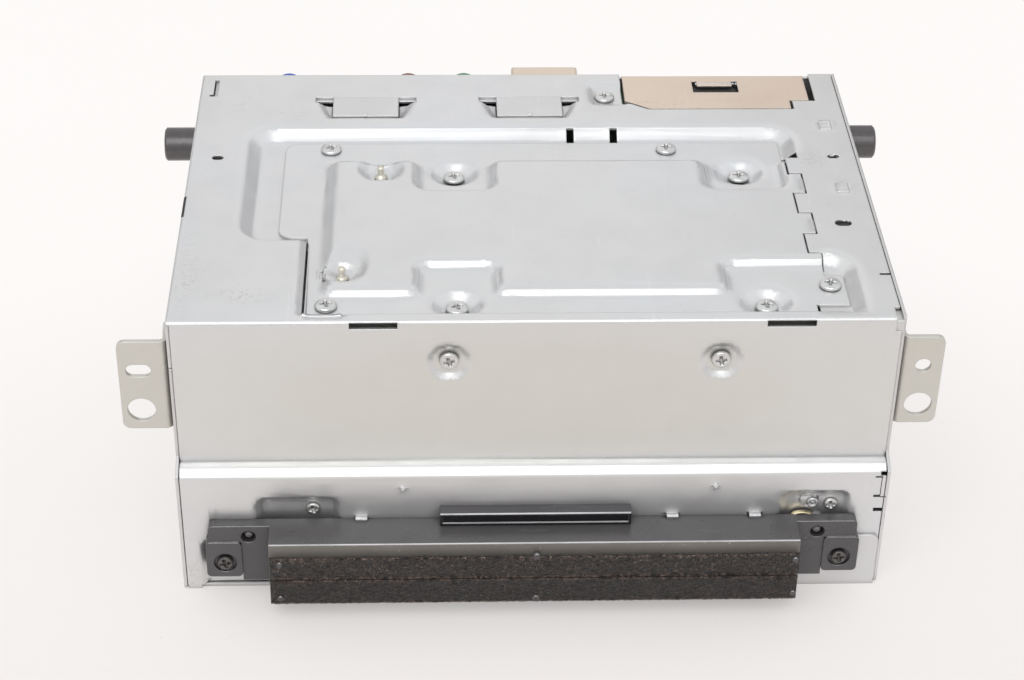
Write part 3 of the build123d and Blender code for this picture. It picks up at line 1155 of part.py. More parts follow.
def pinion_centre():
    reach = MODULE * (IDLER_TEETH + PINION_TEETH) / 2 + MESH_GAP
    turn = radians(PINION_DIRECTION)
    y, z = idler_centre()
    return y + reach * cos(turn), z + reach * sin(turn)


def meshed_phase(phase, teeth, next_teeth, direction):
    """The angle of a tooth of the next gear that puts its gaps on the first gear's teeth."""
    offset_in_teeth = (phase - direction) * teeth / (2 * pi)
    return direction + pi + (0.5 - offset_in_teeth) * 2 * pi / next_teeth


def gear_points(teeth, phase):
    """Points round an involute spur gear, its first tooth centred on the phase angle."""
    pitch_r = MODULE * teeth / 2
    base_r = pitch_r * cos(radians(PRESSURE_ANGLE))
    root_r, tip_r = pitch_r - 1.25 * MODULE, pitch_r + 0.95 * MODULE

    def involute(radius):
        turn = max((radius / base_r) ** 2 - 1, 0) ** 0.5
        return turn - atan2(turn, 1)

    half_pitch = (pi / 2 - BACKLASH / MODULE) / teeth
    flank = []
    for radius in (root_r, max(base_r, root_r + 0.1), pitch_r, (pitch_r + tip_r) / 2, tip_r):
        flank.append((radius, half_pitch + involute(pitch_r) - involute(radius)))
    points = []
    for i in range(teeth):
        middle = phase + 2 * pi * i / teeth
        both = [(r, middle - half) for r, half in flank] + [(r, middle + half) for r,
            half in reversed(flank)]
        points += [(r * cos(a), r * sin(a)) for r, a in both]
    return points


def make_gear(teeth, phase, centre, bore_r):
    with BuildPart() as made:
        with BuildSketch(Plane(origin=(GEAR_LEFT, *centre), x_dir=(0, 1, 0), z_dir=(1, 0, 0))):
            with BuildLine():
                Polyline(*gear_points(teeth, phase), close=True)
            make_face()
            if bore_r:
                Circle(bore_r, mode=Mode.SUBTRACT)
        extrude(amount=GEAR_WIDTH)
    return made


def make_motor_pinion(phase):
    """The motor's pinion and its shaft, in one piece."""
    with BuildPart() as made:
        add(make_gear(PINION_TEETH, phase, pinion_centre(), 0).part)
        reach = -DECK_HALF_WIDTH + DECK_SHEET + 3.0
        add(shaft_along_x(GEAR_LEFT - 0.4, reach, pinion_centre(), SPINDLE_R).part)
    return made


def make_roller():
    """The rubber roller, waisted so that it grips the disc by its edges."""
    with BuildPart() as made:
        with BuildSketch(Plane.XY):
            with BuildLine():
                Polyline(
                    (-ROLLER_HALF_LENGTH, ROLLER_SHAFT_R), (-ROLLER_HALF_LENGTH, ROLLER_END_R),
                    (0, ROLLER_MIDDLE_R), (ROLLER_HALF_LENGTH, ROLLER_END_R),
                    (ROLLER_HALF_LENGTH, ROLLER_SHAFT_R), close=True,
                )
            make_face()
        revolve(axis=Axis.X)
    made.part = made.part.moved(Location((0, ROLLER_Y, ROLLER_Z)))
    return made


def shaft_along_x(left, right, centre, radius):
    with BuildPart(Plane(origin=(left, *centre), x_dir=(0, 1, 0), z_dir=(1, 0, 0))) as made:
        Cylinder(radius, right - left, align=ABOVE)
    return made


def make_loading_motor():
    y, z = pinion_centre()
    left = -DECK_HALF_WIDTH + DECK_SHEET
    with BuildPart(Plane(origin=(left, y, z), x_dir=(0, 1, 0), z_dir=(1, 0, 0))) as made:
        Cylinder(LOADING_MOTOR_R, LOADING_MOTOR_LENGTH, align=ABOVE)
        Cylinder(SPINDLE_R + RUN_GAP, 8, align=CENTRED, mode=Mode.SUBTRACT)
    return made


def lifted(part):
    """Turns a piece of the clamp arm from its level, clamping place up to its raised rest."""
    hinge = Axis((0, ARM_HINGE_Y, ARM_HINGE_Z), (1, 0, 0))
    return part.rotate(hinge, -ARM_LIFT)


def make_clamp_arm():
    """The arm that carries the clamp puck, with its ears round the hinge pin."""
    tip, rear = SPINDLE_Y - 9.0, ARM_HINGE_Y - 2.0
    with BuildPart() as made:
        with BuildSketch(Plane.XY.offset(ARM_LEVEL)) as outline:
            with BuildLine():
                Polyline(
                    (-7, tip), (7, tip), (9, SPINDLE_Y + 12), (ARM_HALF_WIDTH, rear),
                    (-ARM_HALF_WIDTH, rear), (-9, SPINDLE_Y + 12), close=True,
                )
            make_face()
            fillet(outline.vertices().group_by(Axis.Y)[0], 3.0)
            with Locations((0, SPINDLE_Y)):
                Circle(PUCK_STEM_R + 0.3, mode=Mode.SUBTRACT)
            with Locations((0, (SPINDLE_Y + ARM_HINGE_Y) / 2 + 4)):
                SlotOverall(22, 7, rotation=90, mode=Mode.SUBTRACT)
        extrude(amount=ARM_SHEET)
        for side in (-1, 1):
            low, high = sorted((side * (ARM_HALF_WIDTH - ARM_SHEET), side * ARM_HALF_WIDTH))
            block((low, rear - 5.0, ARM_LEVEL), (high, ARM_HINGE_Y + 2.0, ARM_HINGE_Z + 2.0))
        drill([(0, ARM_HINGE_Y, ARM_HINGE_Z)], (1, 0, 0), ARM_PIN_R + RUN_GAP, 60)
    made.part = lifted(made.part)
    return made


def make_clamp_puck():
    """The puck that presses the disc on the turntable: a ring, a stem through the arm and a cap."""
    low = DISC_Z + DISC_THICKNESS / 2 + 0.3
    cap = ARM_LEVEL + ARM_SHEET + 0.3 - low
    with BuildPart(Plane.XY.offset(low)) as made:
        with Locations((0, SPINDLE_Y)):
            Cylinder(PUCK_R, PUCK_HEIGHT, align=ABOVE)
            Cylinder(PUCK_STEM_R, cap, align=ABOVE)
            with Locations((0, 0, cap)):
                Cylinder(PUCK_STEM_R + 2.0, 0.8, align=ABOVE)
            Cylinder(HUB_R + 1.2, 3.2, align=CENTRED, mode=Mode.SUBTRACT)
    made.part = lifted(made.part)
    return made


def make_hinge_pin():
    reach = ARM_HALF_WIDTH + 3.0
    return shaft_along_x(-reach, reach, (ARM_HINGE_Y, ARM_HINGE_Z), ARM_PIN_R)


def make_disc_lever(side):
    """A lever that the disc's edge pushes aside, with its pin down through the disc's plane."""
    pivot = (side * LEVER_PIVOT[0], LEVER_PIVOT[1])
    tip = (side * (LEVER_PIVOT[0] + LEVER_REACH[0]), LEVER_PIVOT[1] + LEVER_REACH[1])
    with BuildPart() as made:
        with BuildSketch(Plane.XY.offset(LEVER_Z)):
            SlotCenterPoint(((pivot[0] + tip[0]) / 2, (pivot[1] + tip[1]) / 2), tip, 7.0)
            with Locations(pivot):
                Circle(LEVER_STUD_R + RUN_GAP, mode=Mode.SUBTRACT)
        extrude(amount=1.2)
        with Locations((*tip, LEVER_Z + 0.6)):
            Cylinder(LEVER_PIN_R, LEVER_Z + 0.6 - (DISC_Z - 2.0), align=BELOW)
    return made


# The gears sit in mesh: a tooth of the roller gear points at the idler
ROLLER_PHASE = radians(IDLER_DIRECTION)
IDLER_PHASE = meshed_phase(ROLLER_PHASE, ROLLER_TEETH, IDLER_TEETH, radians(IDLER_DIRECTION))
PINION_PHASE = meshed_phase(IDLER_PHASE, IDLER_TEETH, PINION_TEETH, radians(PINION_DIRECTION))

pieces["top_cover"] = make_top_cover()
pieces["left_side_panel"] = make_side_panel(-1)
pieces["right_side_panel"] = make_side_panel(1)
pieces["base_panel"] = make_base_panel()
pieces["rear_panel"] = make_rear_panel()
pieces["disk_carrier_lid"] = make_lid()
pieces["lid_screws"] = fasteners(
    [(x, y, LID_FLANGE_TOP) for x, y in LID_SCREWS] + [(*REAR_SCREW, CASE_HEIGHT - REAR_SCREW_BOWL)],
    (0, 0, 1), SCREW_HEAD_R, SCREW_HEAD, SCREW_R, LID_SCREW_LENGTH,
)
pieces["disk_screws"] = fasteners(
    [(x, y, DISK_TOP + SHEET) for x, y in DISK_SCREWS],
    (0, 0, 1), SCREW_HEAD_R, SCREW_HEAD, SCREW_R, SHEET + DISK_HOLE_DEPTH - 0.4,
)
pieces["lid_studs"] = make_lid_studs()
pieces["front_screws"] = fasteners(
    [(x, FRONT_DIMPLE_DEPTH, z) for x, z in FRONT_SCREWS]
    + [(x, LOWER_FRONT + POCKET_DEPTH, z) for x, z in POCKET_SCREWS],
    (0, -1, 0), SCREW_HEAD_R - 0.35, 1.5, SCREW_R, SCREW_LENGTH,
)
pieces["bezel_screws"] = fasteners(
    [(s * WING_SCREW[0], PAD_FRONT + 0.8, WING_SCREW[1]) for s in (-1, 1)],
    (0, -1, 0), WING_SCREW_HEAD_R, 1.5, SCREW_R, 7.0,
)
pieces["front_brace"] = make_front_brace()
pieces["tuner_shield"] = make_tuner_shield()
pieces["tuner_board"] = make_tuner_board()
pieces["left_ear"] = make_ear(-1)
pieces["right_ear"] = make_ear(1)
with BuildPart() as side_screws:
    for s in (-1, 1):
        ear_points = [(s * (HALF_WIDTH + EAR_SHEET), EAR_SCREW_Y, z) for z in EAR_SCREWS_Z]
        panel_points = [(s * HALF_WIDTH, y, z) for y in SIDE_SCREWS_Y for z in SIDE_SCREWS_Z]
        add(fasteners(ear_points + panel_points, (s, 0, 0), SCREW_HEAD_R, SCREW_HEAD, SCREW_R, 3.4).part)
pieces["side_screws"] = side_screws
pieces["left_bush"] = make_bush(-1)
pieces["right_bush"] = make_bush(1)
pieces["slot_bezel"] = make_slot_bezel()
pieces["upper_felt"] = make_felt(DISC_Z + FELT_SLIT / 2, FELT_TOP_Z)
pieces["lower_felt"] = make_felt(FELT_LOW_Z, DISC_Z - FELT_SLIT / 2)
pieces["bezel_top_bar"] = make_top_bar()
for colour, x in zip(("blue", "brown", "green"), COAX_X):
    pieces[f"{colour}_coax_socket"] = make_coax_socket(x)
pieces["video_connector"] = make_shell_connector()
pieces["main_connector"] = make_main_connector()
pieces["connector_pins"] = make_connector_pins()
pieces["hard_disk"] = make_hard_disk()
pieces["disk_link_board"] = make_disk_board()
pieces["board_tray"] = make_board_tray()
pieces["board_screws"] = fasteners(
    [(x, y, BOARD_Z + BOARD) for x, y in POSTS], (0, 0, 1), 2.4, 1.5, POST_SCREW_R, 7.0
)
pieces["main_board"] = make_main_board()
pieces["processor"] = make_processor()
pieces["heat_sink"] = make_heat_sink()
pieces["capacitors"] = make_capacitors()
pieces["deck_base"] = make_deck_base()
pieces["deck_top_plate"] = make_deck_top()
pieces["disc_guide"] = make_disc_guide()
pieces["deck_dampers"] = make_dampers()
pieces["spindle_motor"] = make_spindle_motor()
pieces["turntable"] = make_turntable()
pieces["guide_rods"] = make_guide_rods()
pieces["pickup_sled"] = make_sled()
pieces["pickup_lens"] = make_lens()
pieces["lead_screw"] = make_lead_screw()
pieces["sled_motor"] = make_sled_motor()
pieces["loading_roller"] = make_roller()
pieces["roller_shaft"] = shaft_along_x(GEAR_LEFT - 0.6, ROLLER_HALF_LENGTH + 5.6, (ROLLER_Y, ROLLER_Z),
    ROLLER_SHAFT_R)
pieces["roller_gear"] = make_gear(ROLLER_TEETH, ROLLER_PHASE, (ROLLER_Y, ROLLER_Z), ROLLER_SHAFT_R)
pieces["idler_gear"] = make_gear(IDLER_TEETH, IDLER_PHASE, idler_centre(), ROLLER_SHAFT_R + RUN_GAP)
pieces["motor_pinion"] = make_motor_pinion(PINION_PHASE)
pieces["loading_motor"] = make_loading_motor()
pieces["clamp_arm"] = make_clamp_arm()
pieces["clamp_puck"] = make_clamp_puck()
pieces["clamp_hinge_pin"] = make_hinge_pin()
pieces["left_disc_lever"] = make_disc_lever(-1)
pieces["right_disc_lever"] = make_disc_lever(1)

for name, piece in pieces.items():
    piece.part.label = name
    export_step(piece.part, f"parts/{name}.step")
print(len(pieces), "pieces written")
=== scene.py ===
import json
import random
from math import cos, pi, radians, sin

import bmesh
import bpy
import numpy as np
from mathutils import Matrix, Vector, noise
from mathutils.bvhtree import BVHTree


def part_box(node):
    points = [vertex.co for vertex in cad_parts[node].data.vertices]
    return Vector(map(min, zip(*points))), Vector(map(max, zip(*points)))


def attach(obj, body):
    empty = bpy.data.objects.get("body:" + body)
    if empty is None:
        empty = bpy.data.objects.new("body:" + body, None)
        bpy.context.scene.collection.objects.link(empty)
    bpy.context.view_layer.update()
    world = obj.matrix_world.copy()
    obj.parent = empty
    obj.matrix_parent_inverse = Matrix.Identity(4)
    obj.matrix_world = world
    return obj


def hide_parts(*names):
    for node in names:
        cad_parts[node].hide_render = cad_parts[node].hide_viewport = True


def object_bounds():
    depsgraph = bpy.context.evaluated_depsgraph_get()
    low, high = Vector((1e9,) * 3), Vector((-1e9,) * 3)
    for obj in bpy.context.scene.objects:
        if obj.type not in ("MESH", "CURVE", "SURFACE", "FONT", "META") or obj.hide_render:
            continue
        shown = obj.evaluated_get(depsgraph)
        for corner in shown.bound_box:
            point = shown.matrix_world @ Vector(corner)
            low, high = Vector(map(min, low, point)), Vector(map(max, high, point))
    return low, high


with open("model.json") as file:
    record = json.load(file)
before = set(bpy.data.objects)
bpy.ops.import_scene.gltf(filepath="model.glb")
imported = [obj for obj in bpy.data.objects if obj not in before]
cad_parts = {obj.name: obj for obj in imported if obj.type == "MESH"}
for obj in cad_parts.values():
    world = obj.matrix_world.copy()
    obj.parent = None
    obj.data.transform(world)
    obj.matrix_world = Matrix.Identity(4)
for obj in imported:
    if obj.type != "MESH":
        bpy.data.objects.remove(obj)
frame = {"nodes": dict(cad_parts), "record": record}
cad_box = [list(corner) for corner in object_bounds()]
nodes = frame["nodes"]

# The camera, solved from the edges and corners of the case in the photo
camera_data = bpy.data.cameras.new("camera")
camera_data.sensor_width = 36.0
camera_data.sensor_fit = "HORIZONTAL"
camera_data.lens = 81.07
camera_data.clip_start = 0.01
camera_data.clip_end = 20.0
camera = bpy.data.objects.new("camera", camera_data)
bpy.context.scene.collection.objects.link(camera)
camera.matrix_world = Matrix((
    (0.9993, 0.0066, -0.0362, -0.0265),
    (-0.0333, 0.5775, -0.8157, -0.4571),
    (0.0155, 0.8163, 0.5773, 0.3984),
    (0.0, 0.0, 0.0, 1.0),
))
bpy.context.scene.camera = camera
bpy.context.scene.view_settings.view_transform = "Standard"


class Surface:
    """One material: a principled shader and small helpers that add nodes to it."""

    def __init__(self, name, **values):
        self.material = bpy.data.materials.new(name)
        self.material.use_nodes = True
        self.tree = self.material.node_tree
        self.tree.nodes.clear()
        output = self.tree.nodes.new("ShaderNodeOutputMaterial")
        self.shader = self.tree.nodes.new("ShaderNodeBsdfPrincipled")
        self.tree.links.new(self.shader.outputs[0], output.inputs["Surface"])
        self.place = self.tree.nodes.new("ShaderNodeTexCoord").outputs["Object"]
        for key, value in values.items():
            self.shader.inputs[key.replace("_", " ")].default_value = value

    def add(self, kind, **inputs):
        made = self.tree.nodes.new(kind)
        for key, value in inputs.items():
            self.give(made.inputs[key.replace("_", " ")], value)
        return made

    def give(self, socket, value):
        if isinstance(value, bpy.types.NodeSocket):
            self.tree.links.new(value, socket)
        else:
            socket.default_value = value

    def noise(self, scale, detail=3.0, rough=0.55, stretch=None, turn=0.0, distort=0.0):
        """Noise in metres: a scale of 100 has features of about 10 mm."""
        where = self.place
        if stretch:
            move = self.add("ShaderNodeMapping", Vector=where)
            move.inputs["Scale"].default_value = stretch
            move.inputs["Rotation"].default_value = (0.0, 0.0, turn)
            where = move.outputs[0]
        made = self.add("ShaderNodeTexNoise", Vector=where, Scale=scale, Detail=detail, Roughness=rough)
        made.inputs["Distortion"].default_value = distort
        return made.outputs["Fac"]

    def span(self, value, low, high, to_low=0.0, to_high=1.0):
        made = self.add("ShaderNodeMapRange", Value=value)
        for key, number in (("From Min", low), ("From Max", high), ("To Min", to_low), ("To Max", to_high)):
            made.inputs[key].default_value = number
        made.clamp = True
        return made.outputs[0]

    def math(self, what, one, two=0.0):
        made = self.tree.nodes.new("ShaderNodeMath")
        made.operation = what
        self.give(made.inputs[0], one)
        self.give(made.inputs[1], two)
        return made.outputs[0]

    def mix(self, share, one, two):
        made = self.tree.nodes.new("ShaderNodeMix")
        made.data_type = "RGBA"
        self.give(made.inputs[0], share)
        for socket, value in ((made.inputs[6], one), (made.inputs[7], two)):
            self.give(socket, value if isinstance(value, bpy.types.NodeSocket) else (*value, 1.0))
        return made.outputs[2]

    def soft_edges(self, radius):
        """Normals rounded over the creases, as far as the given radius."""
        made = self.tree.nodes.new("ShaderNodeBevel")
        made.samples = 6
        made.inputs["Radius"].default_value = radius
        return made.outputs[0]

    def edge_mask(self, rounded):
        """1 on a crease and 0 on a flat face."""
        plain = self.tree.nodes.new("ShaderNodeNewGeometry").outputs["Normal"]
        dot = self.tree.nodes.new("ShaderNodeVectorMath")
        dot.operation = "DOT_PRODUCT"
        self.give(dot.inputs[0], rounded)
        self.give(dot.inputs[1], plain)
        return self.span(dot.outputs["Value"], 0.985, 0.80)

    def toward(self, normal, direction, low, high):
        """1 where the normal points along a direction of the object's frame."""
        dot = self.tree.nodes.new("ShaderNodeVectorMath")
        dot.operation = "DOT_PRODUCT"
        self.give(dot.inputs[0], normal)
        dot.inputs[1].default_value = direction
        return self.span(dot.outputs["Value"], low, high)

    def near(self, centre, half, soft=0.5):
        """1 inside an oval round a point of the object, in mm, fading over its rim."""
        apart = self.tree.nodes.new("ShaderNodeVectorMath")
        apart.operation = "SUBTRACT"
        self.give(apart.inputs[0], self.place)
        apart.inputs[1].default_value = tuple(c * 0.001 for c in centre)
        scaled = self.tree.nodes.new("ShaderNodeVectorMath")
        scaled.operation = "DIVIDE"
        self.give(scaled.inputs[0], apart.outputs[0])
        scaled.inputs[1].default_value = tuple(h * 0.001 for h in half)
        length = self.tree.nodes.new("ShaderNodeVectorMath")
        length.operation = "LENGTH"
        self.give(length.inputs[0], scaled.outputs[0])
        return self.span(length.outputs["Value"], 1.0, 1.0 - soft)

    def crevice(self, distance):
        """1 where the surface lies open and less in corners."""
        made = self.tree.nodes.new("ShaderNodeAmbientOcclusion")
        made.samples = 4
        made.inputs["Distance"].default_value = distance
        return made.outputs["AO"]

    def bump(self, height, depth, normal=None):
        made = self.add("ShaderNodeBump", Height=height)
        made.inputs["Strength"].default_value = 1.0
        made.inputs["Distance"].default_value = depth
        if normal is not None:
            self.give(made.inputs["Normal"], normal)
        return made.outputs[0]

    def finish(self, colour=None, rough=None, normal=None):
        if colour is not None:
            self.give(self.shader.inputs["Base Color"], colour)
        if rough is not None:
            self.give(self.shader.inputs["Roughness"], rough)
        if normal is not None:
            self.give(self.shader.inputs["Normal"], normal)
        return self.material


def zinc_sheet(
    name, tone, cool, rough=(0.30, 0.44), metal=0.85, crease=0.0005, crevice_shade=0.5, streak=(1, 1, 1), smudges=(),
    painted_front_shade=None,
):
    """Satin zinc-plated sheet: broad tone drift, faint scuffs, fine grain, a painted highlight along its
    creases and painted shade in its corners.
    """
    s = Surface(name, Metallic=metal)
    broad = s.span(s.noise(16.0, 2.0, 0.5), 0.35, 0.65)
    colour = s.mix(broad, tone, cool)
    cloud = s.span(s.noise(70.0, 5.0, 0.6, stretch=streak), 0.40, 0.72)
    colour = s.mix(s.math("MULTIPLY", cloud, 0.20), colour, tuple(c * 0.86 for c in tone))
    specks = s.span(s.noise(900.0, 2.0, 0.5), 0.71, 0.78)
    colour = s.mix(s.math("MULTIPLY", specks, 0.25), colour, tuple(c * 0.55 for c in tone))
    scuffs = s.span(s.noise(55.0, 6.0, 0.7, stretch=(9.0, 0.5, 3.0), turn=0.4), 0.64, 0.70)
    colour = s.mix(s.math("MULTIPLY", scuffs, 0.22), colour, (0.93, 0.93, 0.94))
    rounded = s.soft_edges(crease)
    edge = s.edge_mask(rounded)
    # Paler creases: a painted highlight along the edges, broken up by noise
    painted_edge_highlight = s.math("MULTIPLY", edge, s.span(s.noise(240.0, 4.0, 0.7), 0.30, 0.62))
    colour = s.mix(s.math("MULTIPLY", painted_edge_highlight, 0.45), colour, (0.95, 0.95, 0.95))
    # Painted shade: darker and brownish in corners and creases, from ambient occlusion
    corner = s.span(s.crevice(0.0035), 0.75, 0.25, 0.0, crevice_shade)
    colour = s.mix(corner, colour, (0.17, 0.155, 0.14))
    for centre, half, strength, shade in smudges:
        spots = s.span(s.noise(760.0, 5.0, 0.8, distort=0.8), 0.53, 0.66, 0.0, strength)
        colour = s.mix(s.math("MULTIPLY", spots, s.near(centre, half, 0.8)), colour, shade)
    # Painted shade on the front panel's front-facing faces: darker and warmer, a painted reflection of the
    # floor
    if painted_front_shade:
        front_shade_mask = s.toward(rounded, (0.0, -1.0, 0.0), 0.80, 0.98)
        front_shade_mask = s.math("MULTIPLY", front_shade_mask, s.near((0.0, -2.0, 58.0), (120.0, 12.0, 30.0), 0.5))
        colour = s.mix(front_shade_mask, colour, painted_front_shade)
    grain = s.noise(5200.0, 2.0, 0.6)
    ripple = s.noise(38.0, 2.0, 0.5)
    height = s.math("ADD", s.math("MULTIPLY", grain, 0.012), s.math("MULTIPLY", ripple, 0.7))
    height = s.math("ADD", height, s.math("MULTIPLY", scuffs, -0.008))
    normal = s.bump(height, 0.0006, rounded)
    roughness = s.span(s.noise(120.0, 5.0, 0.65), 0.32, 0.70, rough[0], rough[1])
    return s.finish(colour, roughness, normal)


def moulded(
    name, colour, rough=(0.34, 0.50), edge_highlight_colour=None, crease=0.0004, grain=0.05, dust=0.2, glint=0.0,
    depth=0.0, painted_front_shade=None,
):
    """Moulded plastic: fine spark-eroded grain, a little dust, paler edges as a painted highlight, a painted
    highlight on its upper front edges and, where asked, painted shade in crevices and on front faces.
    """
    s = Surface(name, IOR=1.5)
    paler = tuple(min(1.0, c * 1.22 + 0.004) for c in colour)
    tone = s.mix(s.span(s.noise(45.0, 4.0, 0.6), 0.35, 0.70), colour, paler)
    rounded = s.soft_edges(crease)
    edge = s.edge_mask(rounded)
    # Painted shade: front-facing faces darkened
    if painted_front_shade:
        tone = s.mix(s.toward(rounded, (0.0, -1.0, 0.0), 0.90, 0.99), tone, painted_front_shade)
    # Paler creases: a painted highlight along the edges
    painted_edge_highlight = edge_highlight_colour or tuple(min(1.0, c * 1.7 + 0.03) for c in colour)
    tone = s.mix(s.math("MULTIPLY", edge, 0.5), tone, painted_edge_highlight)
    lint = s.span(s.noise(1300.0, 2.0, 0.5), 0.70, 0.76, 0.0, dust)
    tone = s.mix(lint, tone, (0.5, 0.48, 0.45))
    rub = s.span(s.noise(60.0, 6.0, 0.7, stretch=(1.0, 6.0, 6.0)), 0.60, 0.70, 0.0, dust * 0.5)
    tone = s.mix(rub, tone, (0.32, 0.31, 0.30))
    # Painted shade: near black in crevices, from ambient occlusion
    if depth:
        tone = s.mix(s.span(s.crevice(0.0022), 0.80, 0.30, 0.0, depth), tone, (0.010, 0.008, 0.010))
    if glint:
        # Painted highlight along the rounded front and upper edges, broken up by noise
        shine = s.toward(rounded, (0.0, -0.707, 0.707), 0.90, 0.985)
        broken = s.span(s.noise(55.0, 4.0, 0.6, stretch=(1.0, 4.0, 4.0)), 0.30, 0.55, 0.55, 1.0)
        tone = s.mix(s.math("MULTIPLY", s.math("MULTIPLY", shine, broken), glint), tone, (0.70, 0.69, 0.70))
    normal = s.bump(s.noise(2600.0, 2.0, 0.6), 0.001 * grain, rounded)
    return s.finish(tone, s.span(s.noise(90.0, 4.0, 0.6), 0.3, 0.7, rough[0], rough[1]), normal)


def turned(name, colour, rough=(0.18, 0.34), metal=1.0, crevice_shade=0.6, crease=0.0003):
    """Bright machined or pressed metal with fine marks and painted shade in its corners."""
    s = Surface(name, Metallic=metal)
    tone = s.mix(s.span(s.noise(300.0, 4.0, 0.6), 0.35, 0.7), colour, tuple(c * 0.86 for c in colour))
    # Painted shade: near black in the corners, from ambient occlusion
    corner = s.span(s.crevice(0.0016), 0.85, 0.30, 0.0, crevice_shade)
    tone = s.mix(corner, tone, (0.045, 0.042, 0.04))
    rounded = s.soft_edges(crease)
    normal = s.bump(s.noise(2200.0, 3.0, 0.6), 0.00004, rounded)
    return s.finish(tone, s.span(s.noise(500.0, 4.0, 0.6), 0.3, 0.7, rough[0], rough[1]), normal)


def painted_board(name):
    """Green solder mask over slightly paler tracks, with bare pads."""
    s = Surface(name, IOR=1.5)
    tracks = s.span(s.noise(300.0, 2.0, 0.5), 0.47, 0.53)
    tone = s.mix(tracks, (0.030, 0.135, 0.065), (0.036, 0.160, 0.076))
    pads = s.span(s.noise(420.0, 1.0, 0.4), 0.72, 0.74)
    tone = s.mix(pads, tone, (0.62, 0.60, 0.52))
    return s.finish(tone, s.span(s.noise(90.0), 0.3, 0.7, 0.28, 0.42), s.bump(tracks, 0.00003))


def rubbery(name, colour):
    """Matt rubber with a faint cloud in its tone."""
    s = Surface(name, IOR=1.5)
    tone = s.mix(s.noise(160.0, 4.0), colour, tuple(c * 1.6 + 0.01 for c in colour))
    return s.finish(tone, s.span(s.noise(220.0), 0.3, 0.7, 0.55, 0.75), s.bump(s.noise(1400.0), 0.00006))


def felt_cloth(name):
    """Matted dark felt with curled brown fibres, pale specks and a soft sheen."""
    s = Surface(name, IOR=1.45, Sheen_Weight=0.25, Sheen_Roughness=0.5, Specular_IOR_Level=0.12)
    mat = s.span(s.noise(760.0, 5.0, 0.8, distort=2.6), 0.38, 0.64)
    tone = s.mix(mat, (0.005, 0.004, 0.004), (0.052, 0.040, 0.035))
    patches = s.span(s.noise(75.0, 4.0, 0.6, stretch=(0.5, 1.0, 1.0)), 0.36, 0.64)
    tone = s.mix(s.math("MULTIPLY", patches, 0.5), tone, (0.020, 0.0165, 0.0165))
    high = s.tree.nodes.new("ShaderNodeSeparateXYZ")
    s.give(high.inputs[0], s.place)
    tone = s.mix(s.span(high.outputs[2], 0.0150, 0.0110, 0.0, 0.35), tone, (0.016, 0.014, 0.0145))
    curls = s.span(s.noise(1000.0, 3.0, 0.7, distort=4.5), 0.60, 0.68)
    tone = s.mix(s.math("MULTIPLY", curls, 0.45), tone, (0.21, 0.17, 0.145))
    specks = s.span(s.noise(2600.0, 1.0, 0.5), 0.735, 0.77)
    tone = s.mix(s.math("MULTIPLY", specks, 0.7), tone, (0.55, 0.48, 0.40))
    normal = s.bump(s.noise(1000.0, 6.0, 0.8, distort=1.5), 0.0009)
    return s.finish(tone, s.span(s.noise(300.0), 0.3, 0.7, 0.80, 0.95), normal)


def felt_fibre(name):
    """Thin brown fibres, some of them pale, darker on the lower lip."""
    s = Surface(name, IOR=1.45, Roughness=0.6, Specular_IOR_Level=0.3)
    tone = s.mix(s.span(s.noise(900.0, 2.0, 0.5), 0.35, 0.65), (0.018, 0.014, 0.013), (0.205, 0.155, 0.130))
    tone = s.mix(s.span(s.noise(1500.0, 1.0, 0.5), 0.68, 0.72, 0.0, 0.9), tone, (0.55, 0.45, 0.36))
    high = s.tree.nodes.new("ShaderNodeSeparateXYZ")
    s.give(high.inputs[0], s.place)
    tone = s.mix(s.span(high.outputs[2], 0.0150, 0.0110, 0.0, 0.30), tone, (0.022, 0.019, 0.018))
    return s.finish(tone)


GREY_DIRT = (0.30, 0.29, 0.27)
BROWN_DIRT = (0.33, 0.24, 0.15)
COVER_SMUDGES = (
    ((-72.0, 11.5, 80.5), (11.0, 4.5, 3.0), 0.55, GREY_DIRT),
    ((-86.0, 22.0, 80.5), (4.0, 24.0, 3.0), 0.45, GREY_DIRT),
    ((77.0, 76.0, 79.0), (4.5, 7.5, 4.0), 0.80, BROWN_DIRT),
    ((-55.0, 0.0, 80.3), (38.0, 1.2, 1.5), 0.50, GREY_DIRT),
    ((60.0, 0.0, 80.3), (30.0, 1.2, 1.5), 0.50, GREY_DIRT),
    ((-88.0, -4.5, 6.0), (5.0, 3.0, 7.0), 0.60, (0.40, 0.33, 0.24)),
    ((-60.0, 101.0, 80.5), (24.0, 5.0, 3.0), 0.20, GREY_DIRT),
    ((88.0, 1.0, 79.0), (3.5, 5.0, 4.0), 0.60, GREY_DIRT),
)
SHIELD_SMUDGES = (
    ((37.0, 106.0, 80.5), (12.0, 5.0, 3.0), 0.4, GREY_DIRT),
    ((56.0, 110.0, 80.5), (26.0, 8.0, 3.0), 0.15, GREY_DIRT),
)
